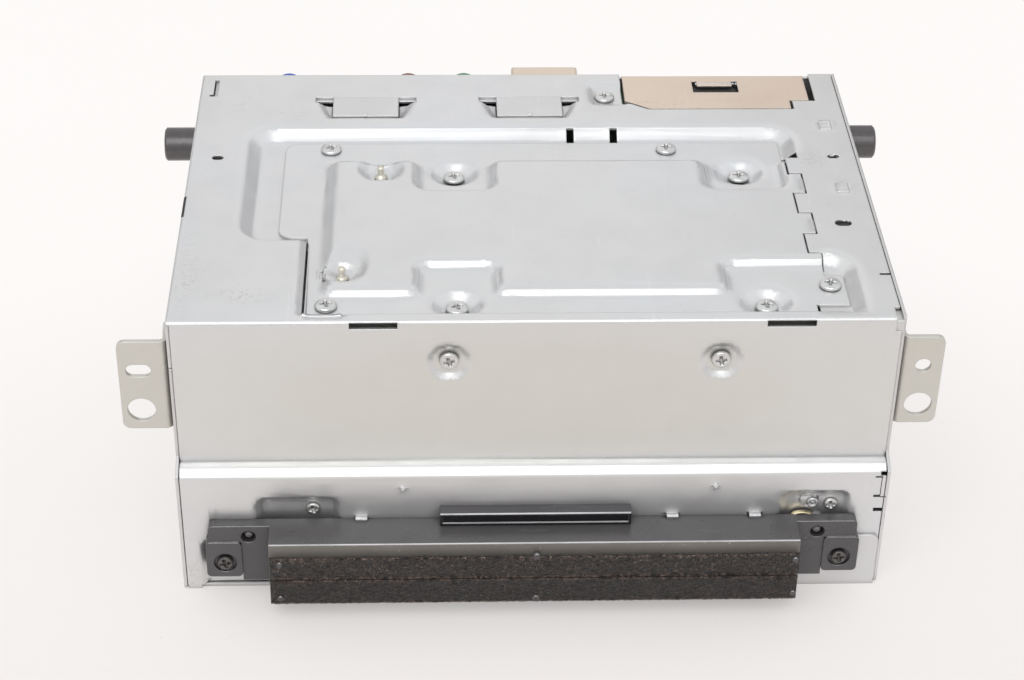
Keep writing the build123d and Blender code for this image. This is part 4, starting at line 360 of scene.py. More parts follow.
# The cover: its front faces carry a painted shade, darker and warmer, for the floor's reflection
cover_metal = zinc_sheet(
    "cover_zinc", (0.735, 0.733, 0.728), (0.745, 0.752, 0.765), smudges=COVER_SMUDGES,
    painted_front_shade=(0.715, 0.708, 0.672),
)
lid_metal = zinc_sheet("lid_zinc", (0.730, 0.730, 0.728), (0.750, 0.757, 0.768))
side_metal = zinc_sheet("side_zinc", (0.70, 0.69, 0.68), (0.72, 0.72, 0.73), streak=(1, 1, 0.3))
shield_metal = zinc_sheet(
    "shield_tin", (0.76, 0.63, 0.52), (0.79, 0.68, 0.58), rough=(0.34, 0.48), metal=0.75, crevice_shade=0.6,
    smudges=SHIELD_SMUDGES,
)
ear_metal = zinc_sheet("ear_zinc", (0.66, 0.645, 0.59), (0.68, 0.67, 0.62), rough=(0.36, 0.5), crease=0.0004)
inner_metal = zinc_sheet("inner_zinc", (0.62, 0.62, 0.61), (0.66, 0.66, 0.67), crevice_shade=0.3)
bright_metal = turned("bright_steel", (0.68, 0.68, 0.69))
screw_metal = turned("screw_zinc", (0.74, 0.74, 0.73), rough=(0.22, 0.36), crevice_shade=0.85)
black_screw_metal = turned("screw_black", (0.135, 0.125, 0.118), rough=(0.22, 0.34), metal=0.5, crevice_shade=1.0)
bush_metal = turned("bush_black", (0.125, 0.118, 0.120), rough=(0.20, 0.34), metal=0.6, crevice_shade=0.4)
cast_metal = turned("cast_alloy", (0.60, 0.61, 0.62), rough=(0.40, 0.56), crevice_shade=0.3)
brass = turned("brass", (0.70, 0.60, 0.40), rough=(0.25, 0.36), crevice_shade=0.3)
# The bezel's plastic: painted highlight on its upper front edges and painted shade in its crevices
black_plastic = moulded(
    "bezel_black", (0.073, 0.070, 0.072), rough=(0.24, 0.36), grain=0.02, glint=0.9, depth=0.8, crease=0.00035,
)
socket_black = moulded("socket_black", (0.020, 0.020, 0.021), rough=(0.40, 0.55))
dark_plastic = moulded("dark_plastic", (0.045, 0.045, 0.048))
white_plastic = moulded("white_acetal", (0.78, 0.76, 0.70), dust=0.0, edge_highlight_colour=(0.86, 0.85, 0.80))
cream_plastic = moulded(
    "cream_nylon", (0.74, 0.71, 0.62), dust=0.0, edge_highlight_colour=(0.85, 0.83, 0.76), rough=(0.3, 0.4),
)
blue_plastic = moulded("blue_plastic", (0.050, 0.115, 0.46), dust=0.05)
brown_plastic = moulded("brown_plastic", (0.20, 0.105, 0.070), dust=0.05)
green_plastic = moulded("green_plastic", (0.075, 0.22, 0.115), dust=0.05)
board_green = painted_board("board_green")
# The bezel's front band: a paler copy of the bezel's black plastic, painted lighter as lit
lit_band_plastic = moulded(
    "bezel_band_lit", (0.150, 0.137, 0.122), rough=(0.30, 0.40), grain=0.02, glint=0.9, crease=0.00035, dust=0.6,
)
felt_hair = felt_fibre("felt_fibres")
# The bar: its front face is painted near-black shade
bar_black = moulded(
    "bar_black", (0.046, 0.043, 0.047), rough=(0.28, 0.40), glint=0.9, dust=0.3, painted_front_shade=(0.005, 0.004, 0.006),
)
pin_grey = moulded("pin_grey", (0.20, 0.195, 0.19), rough=(0.28, 0.38), dust=0.1)
stud_metal = turned("stud_metal", (0.76, 0.72, 0.62), rough=(0.22, 0.34), metal=0.7, crevice_shade=0.8)
rubber = rubbery("rubber", (0.020, 0.020, 0.021))
felt = felt_cloth("felt")
lens_glass = Surface("lens", Roughness=0.05, IOR=1.5, Transmission_Weight=0.6)
lens_glass = lens_glass.finish(lens_glass.mix(lens_glass.noise(400.0), (0.30, 0.36, 0.62), (0.50, 0.40, 0.70)))

SLOT_LOOKS = {
    "plated_steel": inner_metal, "tin_plate": shield_metal, "bright_steel": bright_metal,
    "black_screw": black_screw_metal, "zinc_screw": screw_metal, "dark_bush": bush_metal,
    "cream_stud": cream_plastic, "black_plastic": socket_black, "dark_plastic": dark_plastic,
    "white_plastic": white_plastic, "blue_plastic": blue_plastic, "brown_plastic": brown_plastic,
    "green_plastic": green_plastic, "felt": felt, "circuit_board": board_green,
    "cast_aluminium": cast_metal, "rubber": rubber, "lens": lens_glass,
}
OWN_LOOKS = {
    "top_cover": cover_metal, "disk_carrier_lid": lid_metal, "left_side_panel": side_metal,
    "right_side_panel": side_metal, "base_panel": side_metal, "rear_panel": side_metal,
    "left_ear": ear_metal, "right_ear": ear_metal, "slot_bezel": black_plastic,
    "bezel_top_bar": bar_black, "video_connector": shield_metal,
}
for part in frame["record"]["subparts"]:
    look = OWN_LOOKS.get(part["node"], SLOT_LOOKS[part["material_slot"]])
    carried = nodes[part["node"]]
    if not carried.material_slots:
        carried.data.materials.append(look)
    for place in carried.material_slots:
        place.material = look


def add_piece(name, vertices, faces, look, body, slot_name, smooth=True, replaced=()):
    """A mesh object in metres that rides on a body and stands for the replaced nodes."""
    mesh = bpy.data.meshes.new(name)
    mesh.from_pydata(vertices, [], faces)
    mesh.update()
    for face in mesh.polygons:
        face.use_smooth = smooth
    mesh.materials.append(look)
    made = bpy.data.objects.new(name, mesh)
    bpy.context.scene.collection.objects.link(made)
    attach(made, body)
    if replaced:
        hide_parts(*replaced)
    return made


def smooth_step(value):
    value = max(0.0, min(1.0, value))
    return value * value * (3 - 2 * value)


def cross_depth(x, y, reach, half_width):
    """0 to 1: how far a cross recess goes down at a point of a screw's head."""
    arms = []
    for along, across in ((abs(x), abs(y)), (abs(y), abs(x))):
        side = smooth_step((half_width * (1.12 - 0.35 * along / reach) - across) / 0.16 + 0.5)
        end = smooth_step((reach - along) / 0.22 + 0.5)
        arms.append(side * end * (1.0 - 0.55 * along / reach))
    return max(arms)


def screw_mesh(places, out, head_r, head, shank_r, shank, reach, dome):
    """Pan heads with a cross recess, in mm, their seats on the given points."""
    rings, steps = 26, 72
    out = Vector(out)
    side = out.orthogonal().normalized()
    other = out.cross(side)
    vertices, faces = [], []
    for number, point in enumerate(places):
        turn = 0.5 + 1.7 * number
        start = len(vertices)
        base = Vector(point)

        def spot(r, angle, z):
            return (base + side * r * cos(angle) + other * r * sin(angle) + out * z) * 0.001

        def ring(r, level):
            return [spot(r, 2 * pi * k / steps, level(r, 2 * pi * k / steps)) for k in range(steps)]

        def top(r, angle):
            share = r / head_r
            level = head - dome * share ** 2.4 - 0.35 * max(0.0, (share - 0.86) / 0.14) ** 2
            a = angle + turn
            return level - 0.78 * head * cross_depth(r * cos(a), r * sin(a), reach, 0.42)

        vertices.append(spot(0.0, 0.0, top(0.0, 0.0)))
        loops = [ring(head_r * (k / rings) ** 0.9, top) for k in range(1, rings + 1)]
        lip = head - dome - 0.35
        loops.append(ring(head_r, lambda r, a: lip * 0.55))
        loops.append(ring(head_r, lambda r, a: 0.0))
        loops.append(ring(shank_r, lambda r, a: 0.0))
        loops.append(ring(shank_r, lambda r, a: -shank))
        for loop in loops:
            vertices.extend(loop)
        for k in range(steps):
            faces.append((start, start + 1 + k, start + 1 + (k + 1) % steps))
        for n in range(len(loops) - 1):
            a, b = start + 1 + n * steps, start + 1 + (n + 1) * steps
            for k in range(steps):
                m = (k + 1) % steps
                faces.append((a + k, b + k, b + m, a + m))
        last = start + 1 + (len(loops) - 1) * steps
        faces.append(tuple(last + k for k in range(steps - 1, -1, -1)))
    return vertices, faces


def middles(node):
    """The middles of a node's separate solids, each with its lowest and highest corner, in mm."""
    mesh = nodes[node].data
    parent = list(range(len(mesh.vertices)))

    def root(i):
        while parent[i] != i:
            parent[i] = parent[parent[i]]
            i = parent[i]
        return i

    seen = {}
    for v in mesh.vertices:
        key = tuple(round(c * 1e6) for c in v.co)
        if key in seen:
            parent[root(v.index)] = root(seen[key])
        seen[key] = v.index
    for edge in mesh.edges:
        parent[root(edge.vertices[0])] = root(edge.vertices[1])
    groups = {}
    for v in mesh.vertices:
        groups.setdefault(root(v.index), []).append(v.co * 1000)
    boxes = []
    for group in groups.values():
        low = Vector([min(p[i] for p in group) for i in range(3)])
        high = Vector([max(p[i] for p in group) for i in range(3)])
        boxes.append(((low + high) / 2, low, high))
    return sorted(boxes, key=lambda b: tuple(round(c, 3) for c in b[0]))


# Screws stand where the CAD screws stand, told by the node's own solids
for name, axis, out, head_r, cad_head, head, shank_r, reach, dome, look, slot_name in (
    ("lid_screws", 2, (0, 0, 1), 2.75, 1.8, 1.25, 1.5, 1.4, 0.3, screw_metal, "zinc_screw"),
    ("disk_screws", 2, (0, 0, 1), 2.75, 1.8, 1.25, 1.5, 1.4, 0.3, screw_metal, "zinc_screw"),
    ("front_screws", 1, (0, -1, 0), 2.4, 1.5, 1.2, 1.5, 1.35, 0.25, screw_metal, "zinc_screw"),
    ("bezel_screws", 1, (0, -1, 0), 1.95, 1.5, 1.5, 1.4, 1.45, 0.25, black_screw_metal, "black_screw"),
):
    seats, shank = [], 0.0
    for middle, low, high in middles(name):
        seat = middle.copy()
        if axis == 2:
            seat.z = high.z - cad_head
            shank = seat.z - low.z
        else:
            seat.y = low.y + cad_head
            shank = high.y - seat.y
        seats.append(seat)
    if name == "front_screws":
        # The two screws in the pockets behind the bezel have smaller heads
        small = [s for s in seats if s.z < 40]
        seats = [s for s in seats if s.z > 40]
        mesh_parts = screw_mesh(small, out, 1.75, 1.0, 1.45, shank, 1.1, 0.2)
        add_piece("pocket_screws_cross", *mesh_parts, look, "casing", slot_name, replaced=(name,))
    mesh_parts = screw_mesh(seats, out, head_r, head, shank_r, shank, reach, dome)
    add_piece(f"{name}_cross", *mesh_parts, look, "casing", slot_name, replaced=(name,))


SHARP_ANGLE = 38.0  # creases sharper than this stay hard, in degrees
SLICE_WIDTH = 0.8  # between the cuts across a pressed face, in mm
STIRRED = 0.004  # a sheet that moves less than this is left uncut, in mm


def blurred(field, reach):
    """A grid blurred in both directions, reach in cells."""
    width = int(3 * reach) + 1
    weights = [np.exp(-0.5 * (k / reach) ** 2) for k in range(-width, width + 1)]
    for axis in (0, 1):
        total = np.zeros_like(field)
        for k, weight in zip(range(-width, width + 1), weights):
            moved = np.roll(field, k, axis=axis)
            edge = [slice(None), slice(None)]
            edge[axis] = slice(0, k) if k > 0 else slice(k, None) if k < 0 else slice(0, 0)
            moved[tuple(edge)] = 0.0
            total += weight * moved
        field = total
    return field


class Pressing:
    """How far each point of a sheet moves, out of its face, when its sharp pressed edges are rounded."""

    def __init__(self, tree, order, signs, region, reach, ovals=(), step=SLICE_WIDTH, profile=None, cell=0.4):
        """The region is across, along and out, in mm. An oval is its middle, half sizes, height and rim."""
        self.order, self.signs, self.region, self.step, self.cell = order, signs, region, step, cell
        u0, u1, v0, v1, h0, h1 = region
        self.across, self.along = int((u1 - u0) / cell) + 1, int((v1 - v0) / cell) + 1
        heights = np.zeros((self.across, self.along))
        there = np.zeros((self.across, self.along))
        down = [0.0, 0.0, 0.0]
        down[order[2]] = -signs
        down = Vector(down)
        start = [0.0, 0.0, 0.0]
        start[order[2]] = signs * (h1 + 3.0)
        for i in range(self.across):
            start[order[0]] = u0 + i * cell
            for j in range(self.along):
                start[order[1]] = v0 + j * cell
                hit = tree.ray_cast(Vector(start), down, h1 - h0 + 3.0)[0]
                if hit is not None:
                    heights[i, j] = signs * hit[order[2]]
                    there[i, j] = 1.0
        if profile:
            smooth = np.array([profile(v0 + j * cell) for j in range(self.along)])[None, :]
        else:
            smooth = blurred(heights * there, reach / cell) / np.maximum(blurred(there, reach / cell), 1e-6)
        shift = (smooth - heights) * there
        for _ in range(4):
            near = blurred(there, 0.7)
            spread = blurred(shift * there, 0.7) / np.maximum(near, 1e-6)
            shift = np.where(there > 0, shift, spread)
            there = np.where(near > 0.05, 1.0, there)
        # Shallow ovals pressed in, or out, on top of that
        us = (u0 + np.arange(self.across) * cell)[:, None]
        vs = (v0 + np.arange(self.along) * cell)[None, :]
        for u, v, half_u, half_v, height, soft in ovals:
            away = np.sqrt(((us - u) / half_u) ** 2 + ((vs - v) / half_v) ** 2)
            share = np.clip((1.0 - away) / soft, 0.0, 1.0)
            shift = shift + height * share * share * (3 - 2 * share)
        self.shift = shift

    def level(self, point):
        """True if the point is as high as the sheet's face."""
        return self.region[4] - 1.0 <= self.signs * point[self.order[2]] <= self.region[5]

    def holds(self, point):
        u0, u1, v0, v1 = self.region[:4]
        return self.level(point) and u0 <= point[self.order[0]] <= u1 and v0 <= point[self.order[1]] <= v1

    def at(self, point):
        i = (point[self.order[0]] - self.region[0]) / self.cell
        j = (point[self.order[1]] - self.region[2]) / self.cell
        i0, j0 = min(int(i), self.across - 2), min(int(j), self.along - 2)
        a, b = i - i0, j - j0
        s = self.shift
        low = s[i0, j0] * (1 - a) + s[i0 + 1, j0] * a
        high = s[i0, j0 + 1] * (1 - a) + s[i0 + 1, j0 + 1] * a
        return low * (1 - b) + high * b

    def stirs(self, corners):
        """True if any of the sheet within these corners moves."""
        u = [p[self.order[0]] for p in corners]
        v = [p[self.order[1]] for p in corners]
        i = [int((x - self.region[0]) / self.cell) for x in (min(u), max(u))]
        j = [int((x - self.region[2]) / self.cell) for x in (min(v), max(v))]
        patch = self.shift[max(0, i[0]):max(0, i[1] + 2), max(0, j[0]):max(0, j[1] + 2)]
        return patch.size > 0 and float(np.abs(patch).max()) > STIRRED


def strips(polygon, axis, step, first, last):
    """A polygon cut along evenly spaced lines across one axis, between two values."""
    low = max(first, min(p[axis] for p in polygon))
    high = min(last, max(p[axis] for p in polygon))
    line = (int(low // step) + 1) * step
    while line < high - 1e-5 and len(polygon) > 2:
        below, above = [], []
        for k, b in enumerate(polygon):
            a = polygon[k - 1]
            if (a[axis] < line) != (b[axis] < line):
                share = (line - a[axis]) / (b[axis] - a[axis])
                met = tuple(a[n] + (b[n] - a[n]) * share for n in range(3))
                below.append(met)
                above.append(met)
            (below if b[axis] < line else above).append(b)
        if len(below) > 2:
            yield below
        polygon = above
        line += step
    if len(polygon) > 2:
        yield polygon


def pressed_sheet(name, node, look, slot_name, passes):
    """The node's sheet with softly rounded pressed shapes. Its cut edges stay as they are."""
    mesh = nodes[node].data
    points = [tuple(v.co * 1000) for v in mesh.vertices]
    mesh.calc_loop_triangles()
    triangles = [tuple(t.vertices) for t in mesh.loop_triangles]
    tree = BVHTree.FromPolygons(points, triangles)
    pressings = [Pressing(tree, *settings) for settings in passes]
    known, vertices, faces = {}, [], []

    def number(point):
        key = tuple(round(c, 3) for c in point)
        if key not in known:
            known[key] = len(vertices)
            moved = list(point)
            for pressing in pressings:
                if pressing.holds(point):
                    moved[pressing.order[2]] += pressing.signs * pressing.at(point)
                    break
            vertices.append(tuple(c * 0.001 for c in moved))
        return known[key]

    for triangle in triangles:
        corners = [points[i] for i in triangle]
        a, b, c = (Vector(p) for p in corners)
        normal = (b - a).cross(c - a).normalized()
        pieces = [corners]
        for pressing in pressings:
            outward = pressing.signs * normal[pressing.order[2]]
            if outward > -0.5 and all(pressing.level(p) for p in corners) and pressing.stirs(corners):
                u0, u1, v0, v1 = pressing.region[:4]
                pieces = [
                    q for p in strips(corners, pressing.order[0], SLICE_WIDTH, u0, u1)
                    for q in strips(p, pressing.order[1], pressing.step, v0, v1)
                ]
                break
        for piece in pieces:
            loop = []
            for point in piece:
                index = number(point)
                if index not in loop:
                    loop.append(index)
            if len(loop) > 2:
                faces.append(tuple(loop))
    made = add_piece(name, vertices, faces, look, "casing", slot_name, replaced=(node,))
    made.data.set_sharp_from_angle(angle=radians(SHARP_ANGLE))
    weigh = made.modifiers.new("flat_faces_lead", "WEIGHTED_NORMAL")
    weigh.mode = "FACE_AREA"
    weigh.weight = 60
    weigh.keep_sharp = True


# For each face that is pressed: the axes across it, along it and out of it
TOP = (0, 1, 2)
FRONT = (0, 2, 1)


# The front's step in mm, from below: a broad sloping bend, a narrow ledge and a sharp inner bend
STEP_HEIGHTS = (35.7, 36.0, 36.3, 36.7, 37.9, 38.1, 38.4)
STEP_DEPTHS = (4.5, 4.47, 4.35, 4.0, 2.5, 2.1, 0.0)


def step_profile(z):
    """How far the front stands out at a height."""
    return float(np.interp(z, STEP_HEIGHTS, STEP_DEPTHS))


pressed_sheet(
    "top_cover_pressed", "top_cover", cover_metal, "plated_steel",
    (
        (TOP, 1, (-88.6, 88.6, 1.6, 127.5, 75.4, 81.2), 0.95,
         ((-77.0, 106.0, 1.0, 1.2, 0.35, 0.6), (-20.5, 117.7, 1.0, 1.2, 0.35, 0.6))),
        (FRONT, -1, (-89.9, 89.9, 35.2, 39.2, -2.0, 5.2), 1.0, (), 0.2, step_profile, 0.1),
        (FRONT, -1, (-88.6, 88.6, 2.0, 78.6, -2.0, 5.2), 0.80,
         ((-21.5, 68.1, 7.2, 7.2, -0.35, 0.7), (45.4, 68.0, 7.2, 7.2, -0.35, 0.7),
          (-33.3, 32.7, 1.1, 1.1, 0.5, 0.8), (45.8, 32.7, 1.1, 1.1, 0.5, 0.8))),
    ),
)
pressed_sheet(
    "carrier_lid_pressed", "disk_carrier_lid", lid_metal, "plated_steel",
    ((TOP, 1, (-66.0, 79.0, 2.5, 90.0, 74.0, 81.2), 0.80,
      ((-38.9, 71.9, 6.8, 8.6, -1.1, 0.65), (-46.4, 26.8, 5.6, 8.6, -1.1, 0.65),
       (-38.9, 66.2, 2.8, 1.3, 0.55, 0.7),
       (-19.4, 73.4, 8.6, 8.6, -0.55, 0.9), (57.2, 73.4, 8.6, 8.6, -0.55, 0.9),
       (-19.4, 11.8, 8.6, 8.6, -0.55, 0.9), (57.2, 11.8, 8.6, 8.6, -0.55, 0.9))),),
)


def lathe(profile, middle, out, steps=40):
    """A body turned from (radius, height) pairs about an axis through a point, in mm."""
    out = Vector(out)
    side = out.orthogonal().normalized()
    other = out.cross(side)
    base = Vector(middle)
    vertices, faces = [], []
    for r, h in profile:
        for k in range(steps):
            a = 2 * pi * k / steps
            vertices.append((base + side * r * cos(a) + other * r * sin(a) + out * h) * 0.001)
    for n in range(len(profile) - 1):
        for k in range(steps):
            m = (k + 1) % steps
            faces.append((n * steps + k, (n + 1) * steps + k, (n + 1) * steps + m, n * steps + m))
    faces.append(tuple(range(steps - 1, -1, -1)))
    last = (len(profile) - 1) * steps
    faces.append(tuple(last + k for k in range(steps)))
    return vertices, faces


def joined(meshes):
    """One list of points and one of faces from several."""
    vertices, faces = [], []
    for some, loops in meshes:
        start = len(vertices)
        vertices += some
        faces += [tuple(start + i for i in loop) for loop in loops]
    return vertices, faces


def rounded_bar(low, high, edge=0.12):
    """A box with bevelled edges, in mm."""
    low, high = Vector(low), Vector(high)
    vertices, faces = [], []
    bars = bmesh.new()
    bmesh.ops.create_cube(bars, size=1.0)
    for v in bars.verts:
        v.co = Vector(((v.co[i] + 0.5) * (high[i] - low[i]) + low[i] for i in range(3)))
    bmesh.ops.bevel(bars, geom=list(bars.edges), offset=edge, segments=2, affect="EDGES", profile=0.7)
    for v in bars.verts:
        v.index = len(vertices)
        vertices.append(v.co * 0.001)
    bars.verts.index_update()
    for face in bars.faces:
        faces.append(tuple(v.index for v in face.verts))
    bars.free()
    return vertices, faces


# Small pins in the felt's corners and in the middle of its edges
PIN = [(0.0, -1.0), (0.85, -1.0), (0.85, 0.0), (0.72, 0.16), (0.45, 0.24), (0.18, 0.10), (0.0, 0.08)]
BIG_PIN = [(r * 1.15, h) for r, h in PIN]
CORNER_PINS = ((-64.2, 18.4), (-64.3, 7.3), (65.6, 18.5), (65.8, 7.4))
pins = [lathe(PIN, (x, -17.15, z), (0, -1, 0)) for x, z in CORNER_PINS]
pins += [lathe(BIG_PIN, (0.3, -17.12, z), (0, -1, 0)) for z in (20.4, 6.6)]
add_piece("felt_pins", *joined(pins), black_plastic, "casing", "black_plastic")

# Guide pins inside the wings' holes
GUIDE = [(0.0, -3.0), (0.95, -3.0), (0.95, 0.0), (0.75, 0.25), (0.0, 0.3)]
guides = [lathe(GUIDE, (s * 72.4, -6.3, 19.5), (0, -1, 0)) for s in (-1, 1)]
add_piece("guide_pins", *joined(guides), pin_grey, "casing", "dark_plastic")

# The rivet and the brass contact in the pocket at the right
RIVET = [
    (0.0, -0.6), (1.5, -0.6), (1.5, 0.25), (1.25, 0.5), (0.95, 0.5), (0.85, 0.15), (0.45, 0.12), (0.35, 0.35),
    (0.0, 0.38),
]
rivet = lathe(RIVET, (71.1, -3.5, 26.1), (0, -1, 0))
add_piece("pocket_rivet", *rivet, bright_metal, "casing", "bright_steel")
arc_points, arc_faces = [], []
around, along = 12, 28
for i in range(along + 1):
    turn = pi * i / along
    centre = Vector((68.6 + 2.7 * cos(turn), -4.0, 21.9 + 1.5 * sin(turn)))
    outward = Vector((cos(turn), 0.0, sin(turn)))
    for k in range(around):
        a = 2 * pi * k / around
        arc_points.append((centre + outward * 0.34 * cos(a) + Vector((0, 0.75 * sin(a), 0))) * 0.001)
for i in range(along):
    for k in range(around):
        m = (k + 1) % around
        arc_faces.append((i * around + k, i * around + m, (i + 1) * around + m, (i + 1) * around + k))
add_piece("pocket_contact", arc_points, arc_faces, brass, "casing", "bright_steel")

# The shield's bent window tab and its rim, and the sheet's corner behind the notch
tab = joined([
    rounded_bar((50.4, 117.6, 79.0), (60.8, 118.3, 80.35)),
    rounded_bar((49.6, 117.5, 79.2), (50.2, 118.4, 80.3)),
    rounded_bar((61.0, 117.5, 79.2), (61.6, 118.4, 80.3)),
])
add_piece("shield_tab", *tab, bright_metal, "casing", "tin_plate")
# A dark plate under the window: painted shade in the opening
window_shade_plate = rounded_bar((48.6, 115.2, 78.9), (62.4, 119.6, 79.05), 0.03)
add_piece("shield_window_shade_plate", *window_shade_plate, socket_black, "casing", "tin_plate")
rim = joined([
    rounded_bar((35.3, 102.7, 79.7), (75.8, 103.15, 80.5), 0.15),
    rounded_bar((76.2, 107.2, 79.7), (82.2, 107.6, 80.5), 0.15),
    rounded_bar((82.9, 112.0, 79.4), (83.9, 112.8, 80.3), 0.1),
])
add_piece("shield_rim", *rim, bright_metal, "casing", "tin_plate")
flap = joined([
    rounded_bar((87.4, 0.5, 79.2), (89.7, 5.0, 79.6), 0.1),
    rounded_bar((87.4, 0.35, 75.9), (89.7, 0.65, 79.5), 0.1),
])
add_piece("corner_flap", *flap, side_metal, "casing", "plated_steel")

# The screws of the sides, half of them looking each way
side_parts = []
for sign in (-1, 1):
    seats = [
        Vector(((high.x if sign > 0 else low.x) - sign * 1.8, middle.y, middle.z))
        for middle, low, high in middles("side_screws") if middle.x * sign > 0
    ]
    side_parts.append(screw_mesh(seats, (sign, 0, 0), 2.75, 1.25, 1.5, 3.4, 1.4, 0.3))
add_piece(
    "side_screws_cross", *joined(side_parts), screw_metal, "casing", "zinc_screw", replaced=("side_screws",),
)

# Studs with a foot, a neck and a rounded tip, and the plate that closes the gap beside one of them
STUD = [
    (0.0, 0.0), (1.75, 0.0), (1.7, 0.35), (1.25, 0.75), (0.9, 1.2), (0.78, 1.9), (0.95, 2.3), (0.97, 3.0),
    (0.75, 3.4), (0.35, 3.55), (0.0, 3.6),
]
studs = [
    lathe(STUD, (middle.x, middle.y, high.z - 3.6), (0, 0, 1), 32)
    for middle, low, high in middles("lid_studs")
]
add_piece("lid_studs_turned", *joined(studs), stud_metal, "casing", "cream_stud", replaced=("lid_studs",))
crater_floor = rounded_bar((-54.4, 21.5, 77.6), (-51.8, 26.0, 78.4), 0.05)
add_piece("lid_crater_floor", *crater_floor, lid_metal, "casing", "plated_steel")

# Dark plates under the rim's holes: painted shade in the holes
hole_shade_plates = [
    rounded_bar((x - 2.6, y - 2.2, 79.2), (x + 2.6, y + 2.2, 79.6), 0.03)
    for x, y in ((-82.6, 77.5), (83.1, 77.0), (80.8, 43.5))
]
add_piece("rim_hole_shade", *joined(hole_shade_plates), socket_black, "casing", "plated_steel")

# Dark bars at the sheet's side edges: painted shade in the gaps
gap_shade_bars = joined([
    rounded_bar((86.3, -4.56, 34.7), (88.2, -4.3, 35.1), 0.03),
    rounded_bar((87.9, -4.56, 29.0), (88.1, -4.3, 35.0), 0.03),
    rounded_bar((86.3, -4.56, 28.4), (88.1, -4.3, 29.1), 0.03),
    rounded_bar((88.1, -4.56, 28.3), (89.6, -4.3, 28.55), 0.03),
    rounded_bar((-89.98, 48.2, 78.5), (-89.3, 57.8, 80.2), 0.03),
])
add_piece("edge_gap_shade", *gap_shade_bars, socket_black, "casing", "plated_steel")

# The bezel with its front face drawn back at the top, where a bare band shows over the felt
bezel_mesh = bmesh.new()
bezel_mesh.from_mesh(nodes["slot_bezel"].data)
bmesh.ops.remove_doubles(bezel_mesh, verts=bezel_mesh.verts, dist=2e-6)
for v in bezel_mesh.verts:
    if abs(v.co.x) < 0.0671 and v.co.z > 0.0219 and v.co.y < -0.0150:
        v.co.y += 0.0013
bmesh.ops.dissolve_limit(
    bezel_mesh, angle_limit=radians(0.5), verts=bezel_mesh.verts, edges=bezel_mesh.edges,
)
bezel_mesh.verts.index_update()
bezel_points = [v.co.copy() for v in bezel_mesh.verts]
bezel_faces = [tuple(v.index for v in face.verts) for face in bezel_mesh.faces]
bezel_mesh.free()
bezel = add_piece(
    "slot_bezel_moulding", bezel_points, bezel_faces, black_plastic, "casing", "black_plastic",
    replaced=("slot_bezel",),
)
# The front band over the felt takes the paler, painted-light copy of the plastic
bezel.data.materials.append(lit_band_plastic)
for face in bezel.data.polygons:
    top = max(bezel.data.vertices[v].co.z for v in face.vertices)
    if face.normal.y < -0.9 and abs(face.center.x) < 0.0665 and face.center.y < -0.0142 and top > 0.0165:
        face.material_index = 1
bezel.data.set_sharp_from_angle(angle=radians(30))
weigh = bezel.modifiers.new("flat_faces_lead", "WEIGHTED_NORMAL")
weigh.keep_sharp = True


def felt_strip(node, seed, vertices, faces):
    """Adds one lip of the felt, with rounded, ragged edges, to the lists. It gives the lip's box back."""
    low, high = (Vector(c) * 1000 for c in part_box(node))
    if node == "upper_felt":
        high.z -= 0.45
    across, up, deep = 440, 24, 3
    grid = {}
    middle_y = (low.y + high.y) / 2

    def point(i, j, k):
        key = (i, j, k)
        if key not in grid:
            x = low.x + (high.x - low.x) * i / across
            z = low.z + (high.z - low.z) * j / up
            y = low.y + (high.y - low.y) * k / deep
            outer, inner = (up - j, j) if node == "upper_felt" else (j, up - j)
            rim = min(min(outer, 1.5) / 1.5, 0.7 + 0.3 * min(inner, 2) / 2)
            end = min(i, across - i, 2) / 2
            y = middle_y + (y - middle_y) * (0.55 + 0.45 * min(rim, end))
            rough = noise.noise_vector(Vector((x * 0.8, y * 0.8 + seed, z * 0.8)))
            fine = noise.noise_vector(Vector((x * 1.9, y * 1.9 + seed, z * 1.9)))
            shift = rough * 0.2 + fine * 0.3
            shift.y += 0.28 if k == 0 else 0.0
            if j in (0, up):
                shift.z += 0.55 * noise.noise(Vector((x * 2.1, seed, j))) - 0.10 * (1 if j == up else -1)
            place = Vector((x, y, z)) + shift
            for axis in range(3):
                place[axis] = max(low[axis], min(high[axis], place[axis]))
            grid[key] = len(vertices)
            vertices.append(place * 0.001)
        return grid[key]

    for i in range(across):
        for j in range(up):
            faces.append((point(i, j, 0), point(i + 1, j, 0), point(i + 1, j + 1, 0), point(i, j + 1, 0)))
            faces.append((
                point(i, j, deep), point(i, j + 1, deep), point(i + 1, j + 1, deep), point(i + 1, j, deep),
            ))
        for k in range(deep):
            faces.append((point(i, 0, k), point(i, 0, k + 1), point(i + 1, 0, k + 1), point(i + 1, 0, k)))
            faces.append((point(i, up, k), point(i + 1, up, k), point(i + 1, up, k + 1), point(i, up, k + 1)))
    for j in range(up):
        for k in range(deep):
            faces.append((point(0, j, k), point(0, j + 1, k), point(0, j + 1, k + 1), point(0, j, k + 1)))
            faces.append((
                point(across, j, k), point(across, j, k + 1),
                point(across, j + 1, k + 1), point(across, j + 1, k),
            ))
    return low, high


# The reach of a hair's parts out of the face, and its half widths along it
HAIR_REACH = (-0.5, -0.35, 0.1, 0.6)
HAIR_WIDTHS = (0.075, 0.07, 0.065, 0.055, 0.02)


